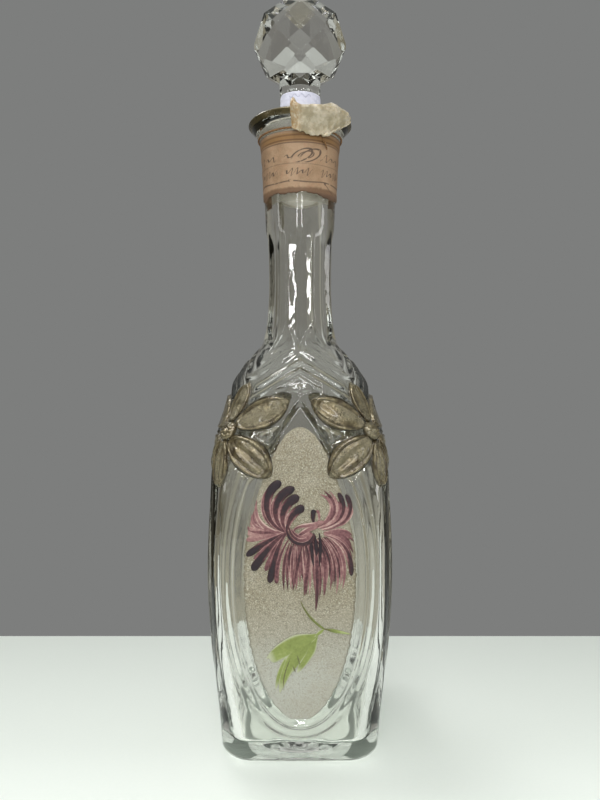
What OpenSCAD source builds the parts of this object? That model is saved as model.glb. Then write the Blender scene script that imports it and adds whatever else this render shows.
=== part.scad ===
// Square antique liqueur bottle of clear moulded glass with its cut ball stopper.
// The origin is the middle of the foot, +Z is up and the decorated face looks along -Y.
// Every ornament lies on one function, the bottle's skin, so it follows a change of any size.

/* [Body] */
// Width over two opposite faces just above the foot
foot_w = 60.5; // [56:0.5:64]
// Widest width over two opposite faces
belly_w = 68; // [64:0.5:72]
// Height of the widest level
belly_z = 70; // [60:1:80]
// Width where the shoulder starts
shoulder_w = 64.4; // [60:0.5:68]
// Height where the shoulder starts
shoulder_z = 112; // [108:1:116]
// Radius of the vertical corners in plan
corner_r = 10; // [7:0.5:14]
// Radius of the edge round the foot
foot_r = 5; // [3:0.5:7]
// How much fuller a face is at its middle than at its corners
face_bulge = 1; // [0:0.25:2]

/* [Shoulder and neck] */
// Width of the shoulder's crown
crown_w = 51.8; // [48:0.2:54]
// Height of the crown
crown_z = 139.8; // [137:0.2:142]
// Width of the collar above the crown
collar_w = 41.4; // [38:0.2:44]
// Height of the collar
collar_z = 148.9; // [147:0.2:151]
// Width at the neck's root
root_w = 29.4; // [28:0.2:32]
// Height of the neck's root
root_z = 157.8; // [156:0.2:160]
// Diameter of the neck
neck_d = 26; // [25:0.2:28]
// Height at which the neck is slimmest
neck_z = 180; // [172:1:190]
// Diameter of the mouth's lip
lip_d = 40.6; // [38:0.2:44]
// Height of the widest edge of the lip
lip_z = 241.8; // [240:0.2:244]
// Thickness of the lip's edge
lip_t = 2.4; // [1.6:0.2:3]

/* [Glass] */
// Wall thickness in the body
wall = 4.5; // [3:0.25:6]
// Extra wall thickness at the foot
foot_wall = 2.5; // [1:0.25:4]
// Height of the inner floor
floor_z = 10; // [8:0.5:13]
// Diameter of the neck's bore
bore_d = 14.7; // [13:0.1:15.5]
// Depth of the hollow under the foot
punt_h = 4; // [2:0.5:6]
// Diameter of the hollow under the foot
punt_d = 34; // [28:1:38]

/* [Moulded relief] */
// Half width of the medallion on each face
oval_w = 21.5; // [19:0.1:22]
// Height of the medallion's lowest point
oval_z0 = 17.5; // [15:0.5:20]
// Height of the medallion's pointed top
oval_z1 = 134.5; // [132:0.5:137]
// Depth to which the medallion's field is sunk
field_sink = 0.7; // [0.4:0.1:1]
// Height of the moulded ribs
rib_h = 0.8; // [0.3:0.1:1]
// Width of a moulded rib
rib_w = 2.2; // [1.6:0.1:3]
// Height of the chevron's point on each face
chevron_z = 149.6; // [147:0.2:151]
// Fall of the chevron per millimetre from its point
chevron_fall = 0.62; // [0.5:0.02:0.8]
// Depth of the eight flutes in the neck
flute_h = 1.1; // [0.6:0.1:1.4]
// Height of the points in which the flutes end
flute_z = 153; // [151:0.5:156]

/* [Corner flowers] */
// Height of a flower's boss on its corner
boss_z = 124.5; // [122:0.5:127]
// Diameter of the boss
boss_d = 7.4; // [6:0.2:9]
// Reach of an upper side petal from the middle of the boss
upper_reach = 23.5; // [21:0.5:25]
// Width of an upper side petal
upper_w = 14.6; // [10:0.2:15]
// Reach of a lower side petal from the middle of the boss
lower_reach = 25.5; // [22:0.5:26.5]
// Width of a lower side petal
lower_w = 12; // [10:0.2:13]
// Reach of the petals up and down the corner
spine_reach = 21; // [18:0.5:23]
// Width of the petals up and down the corner
spine_w = 8; // [6.5:0.25:9]
// Angle of the upper side petals above the level
upper_angle = 33; // [28:1:36]
// Angle of the lower side petals below the level
lower_angle = 40; // [36:1:44]
// Height of a petal's raised rim
petal_h = 1.7; // [1:0.1:2.2]

/* [Enamel] */
// Thickness of the sanded ground on the front medallion
sand_t = 0.35; // [0.2:0.05:0.5]
// Thickness of the painted enamel
enamel_t = 0.45; // [0.2:0.05:0.6]
// Height of the bloom's heart
bloom_z = 88; // [84:1:92]
// Mean radius of the bloom
bloom_r = 18.4; // [16:0.2:18.6]

/* [Stopper] */
// Width of the cut ball
ball_d = 34; // [30:0.5:38]
// Height of the ball's centre
ball_z = 273.5; // [270:0.5:278]
// Diameter of the ground shank at its top
shank_d = 15.8; // [15:0.1:17]
// Taper of the ground shank over its seat
shank_taper = 1.4; // [0.6:0.1:2]
// Height of the shank's lower end
shank_z = 212; // [208:0.5:216]
// Height at which the ground seat ends
seat_z = 236; // [234:0.5:238]
// Width of the eight-sided collar under the ball
collar_across = 17.2; // [16:0.2:19]
// Height of that collar's lower edge above the lip
collar_rise = 11; // [9:0.5:13]

/* [Paper and seal] */
// Height of the neck label's lower edge
label_z = 213; // [210:0.5:216]
// Height of the neck label
label_h = 22.5; // [20:0.5:23]
// Thickness of the label's paper
paper_t = 0.25; // [0.15:0.05:0.4]
// Height of the dealer's sticker
sticker_h = 7; // [5:0.5:8]
// Angle that the sticker wraps
sticker_wrap = 150; // [120:5:180]
// Distance from the sticker up to the collar
sticker_drop = 1.1; // [0.1:0.1:2]
// Thickness of the dried seal over the lip
seal_t = 0.9; // [0.6:0.1:1.2]
// Angle of the lip that the seal still covers
seal_wrap = 85; // [70:5:110]
// Diameter of the binding thread
thread_d = 0.8; // [0.5:0.1:1]

/* [Fits] */
// Gap left round the ground shank
shank_gap = 0.15; // [0.1:0.05:0.25]
// Gap under whatever is laid on the glass
lay_gap = 0.1; // [0.05:0.05:0.15]
// Gap under the petals, which bridge the corner's curve
petal_gap = 0.22; // [0.2:0.02:0.28]

/* [Hidden] */

FRONT = -90;                       // direction of the decorated face
HALF_FACE = 10;                    // columns of the skin between a face's middle and its corner
COLUMNS = 8 * HALF_FACE;
INNER = 28;                        // columns of the inner wall
MARGIN = 1;                        // how far a cutting tool reaches past what it cuts
bore_reach = 8;                    // how far the bore runs on into the body's hollow
glass_clear = [0.86, 0.9, 0.88, 0.6];
gilt = [0.46, 0.42, 0.3];
lip_top = lip_z + lip_t / 2;
shank_low_d = shank_d - shank_taper;
shoulder_span = root_z - shoulder_z;

// ---- the skin: profile, plan and relief ----

label_top_z = min(label_z + label_h, lip_z - 6);
stations = [[foot_r, foot_w / 2], [belly_z, belly_w / 2], [shoulder_z, shoulder_w / 2], [crown_z, crown_w / 2],
    [collar_z, collar_w / 2], [root_z, root_w / 2], [neck_z, neck_d / 2], [label_z, neck_d / 2 + 1.1],
    [label_top_z, neck_d / 2 + 2.5], [lip_z, lip_d / 2]];
last = len(stations) - 1;

function ease(t) = let(s = max(0, min(1, t))) s * s * (3 - 2 * s);
function bump(t) = exp(-t * t);
function secant(i) = (stations[i + 1][1] - stations[i][1]) / (stations[i + 1][0] - stations[i][0]);
// Slope of the profile at a station: the harmonic mean of its two secants, or level at a turning point.
function slope(i) = i == 0 ? secant(0) : i == last ? secant(last - 1)
    : let(a = secant(i - 1), b = secant(i)) a * b <= 0 ? 0 : 2 * a * b / (a + b);
// Half width over the faces at height z: a smooth cubic through the stations.
function half_w(z) = z < foot_r
    ? stations[0][1] - foot_r + sqrt(max(0, foot_r * foot_r - pow(foot_r - z, 2)))
    : let(i = max([0, for (k = [0 : last - 1]) if (z >= stations[k][0]) k]),
        step = stations[i + 1][0] - stations[i][0], t = min(1, (z - stations[i][0]) / step))
      (2 * t * t * t - 3 * t * t + 1) * stations[i][1] + (t * t * t - 2 * t * t + t) * step * slope(i)
      + (3 * t * t - 2 * t * t * t) * stations[i + 1][1] + (t * t * t - t * t) * step * slope(i + 1);
// Corner radius in plan at height z: it grows until the neck is round.
function plan_c(z, w) = corner_r + (w - corner_r) * ease((z - shoulder_z) / shoulder_span);
// Radius of a square of half width w with corners of radius c, at angle a from a face's middle.
function square_r(a, w, c) = let(flat = w - c, d = flat * (cos(a) + sin(a)))
    w * tan(a) <= flat ? w / cos(a) : d + sqrt(max(0, d * d - 2 * flat * flat + c * c));
// Angle of direction phi from the middle of its nearest face, 0 to 45.
function face_angle(phi) = let(m = (phi + 3645) % 90) abs(m - 45);
// Radius of the plain skin, without relief, in direction phi at height z.
function skin_r(phi, z) = let(w = half_w(z), c = plan_c(z, w), a = face_angle(phi - FRONT))
    square_r(a, w, c) - face_bulge * pow(a / 45, 2) * (1 - c / w);

// Half width of the medallion at height z.
oval_mid = belly_z;
arch_power = 2.35;                 // fullness of the pointed arch that closes the medallion
function oval_half(z) = z < oval_mid
    ? oval_w * sqrt(max(0, 1 - pow((oval_mid - z) / (oval_mid - oval_z0), 2)))
    : oval_w * (1 - pow(min(1, (z - oval_mid) / (oval_z1 - oval_mid)), arch_power));
// Distance of a point of the face from the medallion's outline, negative inside.
function oval_distance(x, z) = z < oval_mid
    ? let(b = oval_mid - oval_z0, v = (oval_mid - z) / b, q = max(0.01, norm([x / oval_w, v])))
      (q - 1) * q / norm([x / (oval_w * oval_w), v / b])
    : let(b = oval_z1 - oval_mid, v = (z - oval_mid) / b)
      (x / oval_w + pow(v, arch_power) - 1) / norm([1 / oval_w, arch_power * pow(v, arch_power - 1) / b]);

// A petal is [direction in the skin, reach, width]; directions are mirrored over the corner's ridge.
petals = [[90, spine_reach, spine_w], [upper_angle, upper_reach, upper_w],
    [-lower_angle, lower_reach, lower_w], [-90, spine_reach, spine_w]];
petal_root = boss_d / 2 - 0.6;
up_scale = 0.82;                   // height gained per millimetre up the sloping shoulder
down_scale = 0.98;                 // height lost per millimetre down the body's corner
function boss_v(z) = (z - boss_z) / (z > boss_z ? up_scale : down_scale);
function rise(v) = v * (v > 0 ? up_scale : down_scale);
// Distance of a point of the skin from the nearest petal of a flower.
function petal_distance(u, v) = min([for (p = petals) let(c = cos(p[0]), s = sin(p[0]),
    along = max(petal_root, min(p[1] - p[2] / 3, u * c + v * s)))
    norm([u - along * c, v - along * s]) - p[2] / 2]);

// Relief of one face at angle a from its middle: sunk field, rims, chevrons and flutes.
function relief(a, r, z) = let(x = r * sin(a), d = oval_distance(x, z), e = z + chevron_fall * x - chevron_z,
    u = (45 - a) * PI / 180 * r, clear = ease((petal_distance(u, boss_v(z)) - 1) / 2),
    below = ease((crown_z + 4 - z) / 6), above = ease((flute_z + 5 - z) / 6) * ease((e + 9) / 3),
    beta = abs((a + 22.5) % 45 - 22.5), mouth = ease((label_z - 11 - z) / 8))
    z > label_z ? 0 :
    -field_sink * ease(-d / 1.5 + 0.5) * below
    + clear * rib_h * below * ease((z - foot_r) / 4) * (bump((d - 1.6) / (rib_w / 2)) + 0.7 * bump((d - 5) / (rib_w / 2)))
    + clear * rib_h * above * (bump(e / (rib_w / 2)) + bump((e + 3.2) / (rib_w / 2)) + 0.6 * bump((e - 5) / rib_w))
    - flute_h * max(0, 1 - pow(beta / 20.5, 2)) * mouth * ease((z - flute_z - beta * 0.42) / 4);
// A point that stands h above the skin, in direction phi at height z.
function on_skin(phi, z, h) = let(r = skin_r(phi, z) + h) [r * cos(phi), r * sin(phi), z];

// ---- closed solids from rings and from patches ----

function flat_list(rows) = [for (row = rows) each row];
// Triangles of a strip of quads between rows i and i + 1, columns j and j + 1.
function quad(a, b, c, d) = [[a, b, c], [a, c, d]];
// A stack of closed rings with flat ends.
module loft(rings) {
    n = len(rings[0]);
    m = len(rings);
    side = [for (i = [0 : m - 2], j = [0 : n - 1]) let(k = (j + 1) % n)
        each quad(i * n + j, (i + 1) * n + j, (i + 1) * n + k, i * n + k)];
    polyhedron(flat_list(rings), concat([[for (j = [0 : n - 1]) j]],
        [[for (j = [n - 1 : -1 : 0]) (m - 1) * n + j]], side));
}
// A thin slab between two patches of the same rows and columns.
module slab(top, under) {
    m = len(top);
    n = len(top[0]);
    o = m * n;
    upper = [for (i = [0 : m - 2], j = [0 : n - 2])
        each quad(i * n + j, (i + 1) * n + j, (i + 1) * n + j + 1, i * n + j + 1)];
    lower = [for (f = upper) [o + f[0], o + f[2], o + f[1]]];
    rim = concat([for (j = [0 : n - 1]) j], [for (i = [1 : m - 1]) i * n + n - 1],
        [for (j = [n - 2 : -1 : 0]) (m - 1) * n + j], [for (i = [m - 2 : -1 : 1]) i * n]);
    edge = [for (k = [0 : len(rim) - 1]) let(a = rim[k], b = rim[(k + 1) % len(rim)])
        each quad(a, b, b + o, a + o)];
    polyhedron(concat(flat_list(top), flat_list(under)), concat(upper, lower, edge));
}

// ---- bottle ----

// Heights of the skin's rings: close together where the relief runs across them.
ring_z = concat([for (i = [0 : 3]) foot_r * (1 - cos(22.5 * i))],
    [for (i = [0 : 1]) foot_r + (oval_z0 - 6.5 - foot_r) * i / 2],
    [for (i = [0 : 6]) oval_z0 - 6.5 + 1.5 * i],
    [for (i = [0 : 6]) oval_z0 + 4.5 + (shoulder_z - oval_z0 - 4.5) * pow(i / 7, 1.25)],
    [for (i = [0 : 14]) shoulder_z + (root_z + 6 - shoulder_z) * i / 15],
    [for (i = [0 : 3]) root_z + 6 + (label_z - 12 - root_z) * i / 4],
    [for (i = [0 : 3]) label_z - 6 + (label_top_z + 6 - label_z) * i / 4],
    [for (i = [0 : 3]) label_top_z + (lip_z - label_top_z) * i / 4]);
// Angles of the columns from a face's middle: two in the field, five over its rim, three to the corner.
function column_angle(j, z) = let(w = half_w(z), even = 45 * j / HALF_FACE, a = max(7, oval_half(z)),
    a1 = min(40, atan((a - 0.9) / w)), a2 = min(43, atan((a + 6) / w)), k = ease((z - shoulder_z) / shoulder_span))
    even * k + (1 - k) * lookup(j, [[0, 0], [2, a1], [7, a2], [HALF_FACE, 45]]);
function skin_ring(z) = [for (f = [0 : 3], j = [-HALF_FACE : HALF_FACE - 1])
    let(a = column_angle(abs(j), z), phi = FRONT + 90 * f + (j < 0 ? -a : a), r = skin_r(phi, z))
    (r + relief(a, r, z)) * [cos(phi), sin(phi), 0] + [0, 0, z]];
function round_ring(r, z) = [for (i = [0 : COLUMNS - 1]) let(phi = FRONT - 45 + 360 * i / COLUMNS)
    [r * cos(phi), r * sin(phi), z]];

module bottle_skin() {
    lip_steps = 3;
    loft(concat([for (z = ring_z) skin_ring(z)],
        [for (i = [0 : lip_steps]) let(a = 90 * i / lip_steps)
            round_ring((lip_d - lip_t * (1 - cos(a))) / 2, lip_z + lip_t / 2 * sin(a))]));
}

// Inner wall of the body, up to the neck's bore.
hollow_top = root_z - 2;
function inner_wall(z) = wall + foot_wall * (1 - ease((z - floor_z) / 40));
function inner_w(z) = max(bore_d / 2 + 0.2, half_w(z) - inner_wall(z));
function inner_ring(z, inset) = let(w = inner_w(z) - inset, c = min(w - 0.1, max(3, plan_c(z, half_w(z)) - wall)))
    [for (i = [0 : INNER - 1]) let(phi = 360 * (i + 0.5) / INNER, r = square_r(face_angle(phi - FRONT), w, c))
        [r * cos(phi), r * sin(phi), z]];
module body_hollow() {
    loft(concat([inner_ring(floor_z, 4), inner_ring(floor_z + 1.2, 1.2)],
        [for (z = [floor_z + 4, 30, 50, 75, 95]) inner_ring(z, 0)],
        [for (i = [0 : 7]) inner_ring(shoulder_z + (hollow_top - shoulder_z) * i / 7, 0)]));
}

// Everything that is turned inside the neck: bore, ground seat and the funnel of the mouth.
module neck_bore() {
    seat_d = shank_d + 2 * shank_gap;
    seat_low_d = shank_low_d + 2 * shank_gap;
    mouth_r = lip_d / 2 - lip_t - 1;
    flare = 2.5;
    flare_h = 1.6;
    bore_r = min(bore_d, seat_low_d - 0.4) / 2;
    rotate_extrude($fn = 96) polygon([[0, hollow_top - bore_reach], [bore_r, hollow_top - bore_reach],
        [bore_r, shank_z - 2], [seat_low_d / 2, shank_z - 1], [seat_d / 2, seat_z],
        [seat_d / 2 + 1.6, seat_z + 2.5], [mouth_r - flare, lip_top - flare_h], [mouth_r + flare, lip_top + flare_h], [0, lip_top + flare_h]]);
}

// Shallow dome pressed up into the foot.
module punt() {
    steps = 5;
    rotate_extrude($fn = 96) polygon(concat([[0, -MARGIN], [punt_d / 2 * (1 + MARGIN / punt_h / 2), -MARGIN]],
        [for (i = [0 : steps]) let(t = 1 - i / steps) [punt_d / 2 * t, punt_h * (1 - t * t)]]));
}

module bottle_glass() {
    color(glass_clear) difference() {
        bottle_skin();
        body_hollow();
        neck_bore();
        punt();
    }
}

// ---- flowers on the corners ----

function petal_half(s, w) = max(0.25, w / 2 * pow(sin(180 * (0.12 * s + 0.88 * pow(s, 1.15))), 0.58));
function petal_profile(e) = petal_h * lookup(e, [[0, 0.42], [0.5, 0.45], [0.76, 1], [1, 0.22]]);
// A petal's skin point: s runs from root to tip, t across, h is the height above the skin.
function petal_pt(corner, p, s, t, h) = let(along = petal_root + (p[1] - petal_root) * s,
    across = t * petal_half(s, p[2]), u = along * cos(p[0]) - across * sin(p[0]),
    v = along * sin(p[0]) + across * cos(p[0]), z = boss_z + rise(v),
    phi = corner + u / skin_r(corner, z) * 180 / PI) on_skin(phi, z, h);
module petal(corner, p) {
    rows = [0, 0.14, 0.3, 0.5, 0.72, 0.9, 1];
    columns = [1, 0.76, 0, -0.76, -1];
    slab([for (s = rows) [for (t = columns) petal_pt(corner, p, s, t,
            petal_gap + petal_profile(max(abs(t), abs(2 * s - 1))))]],
        [for (s = rows) [for (t = columns) petal_pt(corner, p, s, t, petal_gap)]]);
}
module boss(corner) {
    turns = 12;
    function ring(share, h) = [for (i = [0 : turns - 1]) let(a = 360 * i / turns, r = boss_d / 2 * share)
        on_skin(corner + r * cos(a) / skin_r(corner, boss_z) * 180 / PI, boss_z + rise(r * sin(a)), h)];
    loft([ring(0.17, petal_gap), ring(0.57, petal_gap), ring(1, petal_gap), ring(1, petal_h * 0.8),
        ring(0.67, petal_h * 1.5), ring(0.2, petal_h * 1.75)]);
}
module gilt_flower(k) {
    corner = FRONT + 45 + 90 * k;
    color(gilt) union() {
        boss(corner);
        for (p = petals) petal(corner, p);
        for (p = petals) if (abs(p[0]) < 90) petal(corner, [180 - p[0], p[1], p[2]]);
    }
}

// ---- painted front ----

// A point of the front medallion's field: x across, z up, h above the field.
function on_field(x, z, h) = let(phi = FRONT + atan(x / half_w(z)), r = skin_r(phi, z) - field_sink + h)
    [r * cos(phi), r * sin(phi), z];
sand_inset = 1.1;                  // bare margin between the sanded ground and the rim
sand_h = lay_gap + sand_t;
sand_top = boss_z + 1.3;           // point in which the sanded ground ends, under the crossing ribs
sand_spread = 3.1;                 // how fast it widens below that point
module sanded_medallion() {
    rows = 18;
    z0 = oval_z0 + sand_inset;
    function half(z) = max(0.5, min(oval_half(z) - sand_inset, sand_spread * sqrt(max(0, sand_top - z))));
    function row(i, h) = let(z = z0 + (sand_top - z0) * ease(i / rows)) [for (t = [-3 : 3]) on_field(t / 3 * half(z), z, h)];
    color([0.68, 0.65, 0.56]) slab([for (i = [0 : rows]) row(i, sand_h)], [for (i = [0 : rows]) row(i, lay_gap)]);
}

// A patch of enamel given in polar form round (x, z): rings of points out to an edge radius.
module enamel_patch(x, z, spokes, edges) {
    shares = [0.02, 0.5, 0.93, 1];
    heights = [1.3, 1.1, 0.8, 0.3];
    base = sand_h + lay_gap;
    function pt(k, i, h) = let(a = 360 * i / spokes, e = k * edges[i]) on_field(x + e * cos(a), z + e * sin(a), h);
    top = [for (q = [3 : -1 : 0]) [for (i = [0 : spokes - 1]) pt(shares[q], i, base + enamel_t * heights[q])]];
    under = [for (q = [0, 1, 3]) [for (i = [0 : spokes - 1]) pt(shares[q], i, base)]];
    loft(concat(under, top));
}
// The bloom's outline has petal tips all round, hangs in a skirt and opens between the two halves of its crest.
bloom_tips = 18;
skirt_turn = 281;
cleft_turn = 80;
module enamel_bloom() {
    spokes = 4 * bloom_tips;
    color([0.42, 0.24, 0.27]) enamel_patch(-0.2, bloom_z, spokes, [for (i = [0 : spokes - 1])
        let(a = 360 * i / spokes) bloom_r * (0.97 + 0.035 * cos(bloom_tips * a) + 0.4 * bump((a - skirt_turn) / 28)
            - 0.46 * bump((a - cleft_turn) / 15))]);
}
leaf_x = -2.5;
leaf_z = 45.5;
module enamel_leaf() {
    spokes = 28;
    color([0.58, 0.62, 0.4]) enamel_patch(leaf_x, leaf_z, spokes, [for (i = [0 : spokes - 1])
        let(a = 360 * i / spokes) 4.6 + 5.4 * bump(((a - 225 + 180) % 360 - 180) / 22) + 4 * bump((a - 45) / 24)
            + 3.4 * bump((a - 185) / 16) + 4.4 * bump((a - 262) / 14)]);
}
// The stem hangs from under the skirt and runs out in a twig to the right.
module enamel_stem() {
    base = sand_h + lay_gap;
    start = [1, bloom_z - 1.47 * bloom_r];
    reach = [15.6, -9.1];
    steps = 10;
    width = 0.55;
    function spine(t) = start + [reach[0] * t, reach[1] * sin(90 * t)];
    function side(t) = let(d = spine(t + 0.01) - spine(t - 0.01)) [-d[1], d[0]] / norm(d) * width;
    function on_side(t, k, h) = let(p = spine(t) + k * side(t)) on_field(p[0], p[1], h);
    function ring(t) = [on_side(t, -1, base), on_side(t, 1, base), on_side(t, 0.7, base + enamel_t),
        on_side(t, -0.7, base + enamel_t)];
    color([0.5, 0.5, 0.38]) loft([for (i = [0 : steps]) ring(i / steps)]);
}

// ---- stopper ----

// A ring of facets is [elevation, number, turn, distance of the facet from the centre as a share of the radius].
facet_rings = [[90, 1, 0, 0.93], [57, 6, 0, 0.93], [0, 6, 0, 0.92], [-57, 6, 0, 0.93], [29, 6, 30, 0.955],
    [-29, 6, 30, 0.955]];
module cut_ball() {
    r = ball_d / 2;
    difference() {
        sphere(r * 1.02, $fn = 96);
        for (f = facet_rings, i = [0 : f[1] - 1])
            rotate([0, 0, FRONT + f[2] + 360 * i / f[1]]) rotate([0, -f[0], 0])
                translate([f[3] * r, -r, -r]) cube([r, 2 * r, 2 * r]);
    }
}
collar_z0 = lip_top + collar_rise;
module stopper_glass() {
    bevel = 1.2;
    color(glass_clear) union() {
        translate([0, 0, ball_z]) cut_ball();
        translate([0, 0, collar_z0]) rotate([0, 0, 22.5])
            cylinder(d = collar_across, h = ball_z - ball_d * 0.42 - collar_z0, $fn = 8);
        rotate_extrude($fn = 96) polygon([[0, shank_z], [shank_low_d / 2 - bevel, shank_z],
            [shank_low_d / 2, shank_z + bevel], [shank_d / 2, seat_z], [shank_d / 2, collar_z0 + 1], [0, collar_z0 + 1]]);
    }
}

// ---- paper, thread and seal ----

module neck_label() {
    r0 = half_w(label_z) + lay_gap;
    r1 = half_w(label_top_z) + lay_gap;
    color([0.69, 0.57, 0.46]) rotate_extrude($fn = 96)
        polygon([[r0, label_z], [r0 + paper_t, label_z], [r1 + paper_t, label_top_z], [r1, label_top_z]]);
}
module stock_sticker() {
    r = shank_d / 2 + lay_gap;
    color([0.93, 0.93, 0.97]) rotate([0, 0, FRONT - sticker_wrap / 2]) rotate_extrude(angle = sticker_wrap, $fn = 96)
        translate([r, collar_z0 - sticker_h - sticker_drop]) square([paper_t, sticker_h]);
}
thread_z = label_top_z + lay_gap + thread_d;
module binding_thread() {
    r = half_w(thread_z + thread_d / 2) + lay_gap + thread_d / 2;
    color([0.35, 0.24, 0.15]) rotate_extrude($fn = 72) translate([r, thread_z]) circle(d = thread_d, $fn = 24);
}
// Path of the seal over the lip in (radius, height), from inside the mouth to the throat outside.
function lip_path(h) = let(r = lip_d / 2, e = lip_t / 2, low = thread_z + thread_d * 1.5) [
    [r - 5, lip_top + h], [r - e, lip_top + h], [r + (h + lay_gap) * 0.75, lip_z + (e + h) * 0.75],
    [r + h + lay_gap, lip_z], [half_w((low + lip_z) / 2) + h + 1.1, (low + lip_z) / 2 + 0.3],
    [half_w(low) + h + 0.9, low], [half_w(thread_z) + h + 1.1, thread_z - 2]];
module seal_remnant() {
    start = FRONT - seal_wrap * 0.12;
    steps = 10;
    function row(path, i) = let(a = start + seal_wrap * i / steps) [for (p = path) [p[0] * cos(a), p[0] * sin(a), p[1]]];
    color([0.72, 0.68, 0.57]) slab([for (i = [0 : steps]) row(lip_path(lay_gap + seal_t), i)],
        [for (i = [0 : steps]) row(lip_path(lay_gap), i)]);
}

bottle_glass();
gilt_flower(0);  // gilt_flower_front_right
gilt_flower(1);  // gilt_flower_back_right
gilt_flower(2);  // gilt_flower_back_left
gilt_flower(3);  // gilt_flower_front_left
sanded_medallion();
enamel_bloom();
enamel_stem();
enamel_leaf();
stopper_glass();
neck_label();
binding_thread();
seal_remnant();
stock_sticker();
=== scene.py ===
# %% [markdown]
# # A square liqueur bottle with a cut ball stopper
# The bottle is clear glass blown into a mould about a hundred years ago: a square body with a sunk
# medallion on each face, ribs that meet in chevrons on the shoulder, gilded flowers on its corners and an
# enamelled bloom on sanded glass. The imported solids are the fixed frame. Each cell below makes one piece or
# one finish in the same frame, and says why.

import bpy
import numpy as np
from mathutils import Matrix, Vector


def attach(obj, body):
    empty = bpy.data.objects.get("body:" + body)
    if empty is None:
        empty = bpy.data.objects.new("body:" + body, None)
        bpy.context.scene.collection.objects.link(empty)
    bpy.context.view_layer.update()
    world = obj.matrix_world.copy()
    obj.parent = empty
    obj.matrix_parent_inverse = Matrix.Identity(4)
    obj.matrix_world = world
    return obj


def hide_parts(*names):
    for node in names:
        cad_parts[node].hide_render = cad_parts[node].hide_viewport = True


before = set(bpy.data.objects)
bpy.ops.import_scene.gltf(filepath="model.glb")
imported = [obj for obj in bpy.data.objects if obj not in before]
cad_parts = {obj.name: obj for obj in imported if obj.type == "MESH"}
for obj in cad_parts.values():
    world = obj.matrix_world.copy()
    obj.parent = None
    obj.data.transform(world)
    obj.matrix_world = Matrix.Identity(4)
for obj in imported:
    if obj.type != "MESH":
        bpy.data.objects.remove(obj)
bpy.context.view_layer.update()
MM = 0.001

# %% [markdown]
# ## Meshes from grids
# Nearly every piece is a surface: a point for each pair of two parameters. numpy works all the points out
# at once, and foreach_set hands them to Blender whole, which is much faster than a loop over vertices and
# keeps the formula readable.

# %% Grid helpers
def grid_quads(rows, columns, wrap=False, start=0):
    """Corner numbers of a grid's quads. With wrap, the last column joins the first one."""
    i, j = np.meshgrid(np.arange(rows - 1), np.arange(columns if wrap else columns - 1), indexing="ij")
    k = (j + 1) % columns
    quads = np.stack([i * columns + j, i * columns + k, (i + 1) * columns + k, (i + 1) * columns + j], -1)
    return quads.reshape(-1, 4) + start


def fan(hub, ring, flip=False):
    """Triangles from one hub point to each side of a closed ring of points."""
    after = np.roll(ring, -1)
    hubs = np.full(len(ring), hub)
    return np.stack([hubs, after, ring] if flip else [hubs, ring, after], -1)


def make_piece(name, points, *groups, coordinates=None, values=None):
    """A mesh object from points in millimetres, arrays of faces, a coordinate pair and named values for
    each point."""
    points = np.asarray(points, float).reshape(-1, 3) * MM
    groups = [np.asarray(g) for g in groups]
    corners = np.concatenate([g.ravel() for g in groups])
    sizes = np.concatenate([np.full(len(g), g.shape[1]) for g in groups])
    mesh = bpy.data.meshes.new(name)
    mesh.vertices.add(len(points))
    mesh.vertices.foreach_set("co", points.astype(np.float32).ravel())
    mesh.loops.add(len(corners))
    mesh.loops.foreach_set("vertex_index", corners.astype(np.int32))
    mesh.polygons.add(len(sizes))
    mesh.polygons.foreach_set("loop_start", np.concatenate([[0], np.cumsum(sizes)[:-1]]).astype(np.int32))
    mesh.polygons.foreach_set("use_smooth", np.ones(len(sizes), bool))
    mesh.update(calc_edges=True)
    if coordinates is not None:
        layer = mesh.uv_layers.new(name="surface")
        pairs = np.asarray(coordinates, float).reshape(-1, 2)[corners]
        layer.data.foreach_set("uv", pairs.astype(np.float32).ravel())
    for key, value in (values or {}).items():
        attribute = mesh.attributes.new(key, "FLOAT", "POINT")
        attribute.data.foreach_set("value", np.asarray(value, float).ravel().astype(np.float32))
    mesh.validate()
    piece = bpy.data.objects.new(name, mesh)
    bpy.context.scene.collection.objects.link(piece)
    return piece


def place(piece, finish, slot, body, *nodes):
    """Gives a piece its finish, lets it move with its body and stand for the solids it replaces."""
    piece.data.materials.append(finish.material)
    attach(piece, body)
    if nodes:
        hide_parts(*nodes)
    print(f"{piece.name}: {len(piece.data.polygons)} faces")
    return piece


# %% [markdown]
# ## Finishes as expressions
# A finish is a small network of nodes. A wrapped socket lets the network be written as a sum: wear * 0.5 +
# 0.1 adds the Multiply and Add nodes. Any other node comes from one method that takes its type, its
# settings and its inputs.

# %% Finish and Wire
def colour(red, green, blue):
    """A colour given in 0-255 steps, as linear light with full alpha."""
    c = np.array([red, green, blue]) / 255
    return (*np.where(c <= 0.04045, c / 12.92, ((c + 0.055) / 1.055) ** 2.4).tolist(), 1.0)


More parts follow.
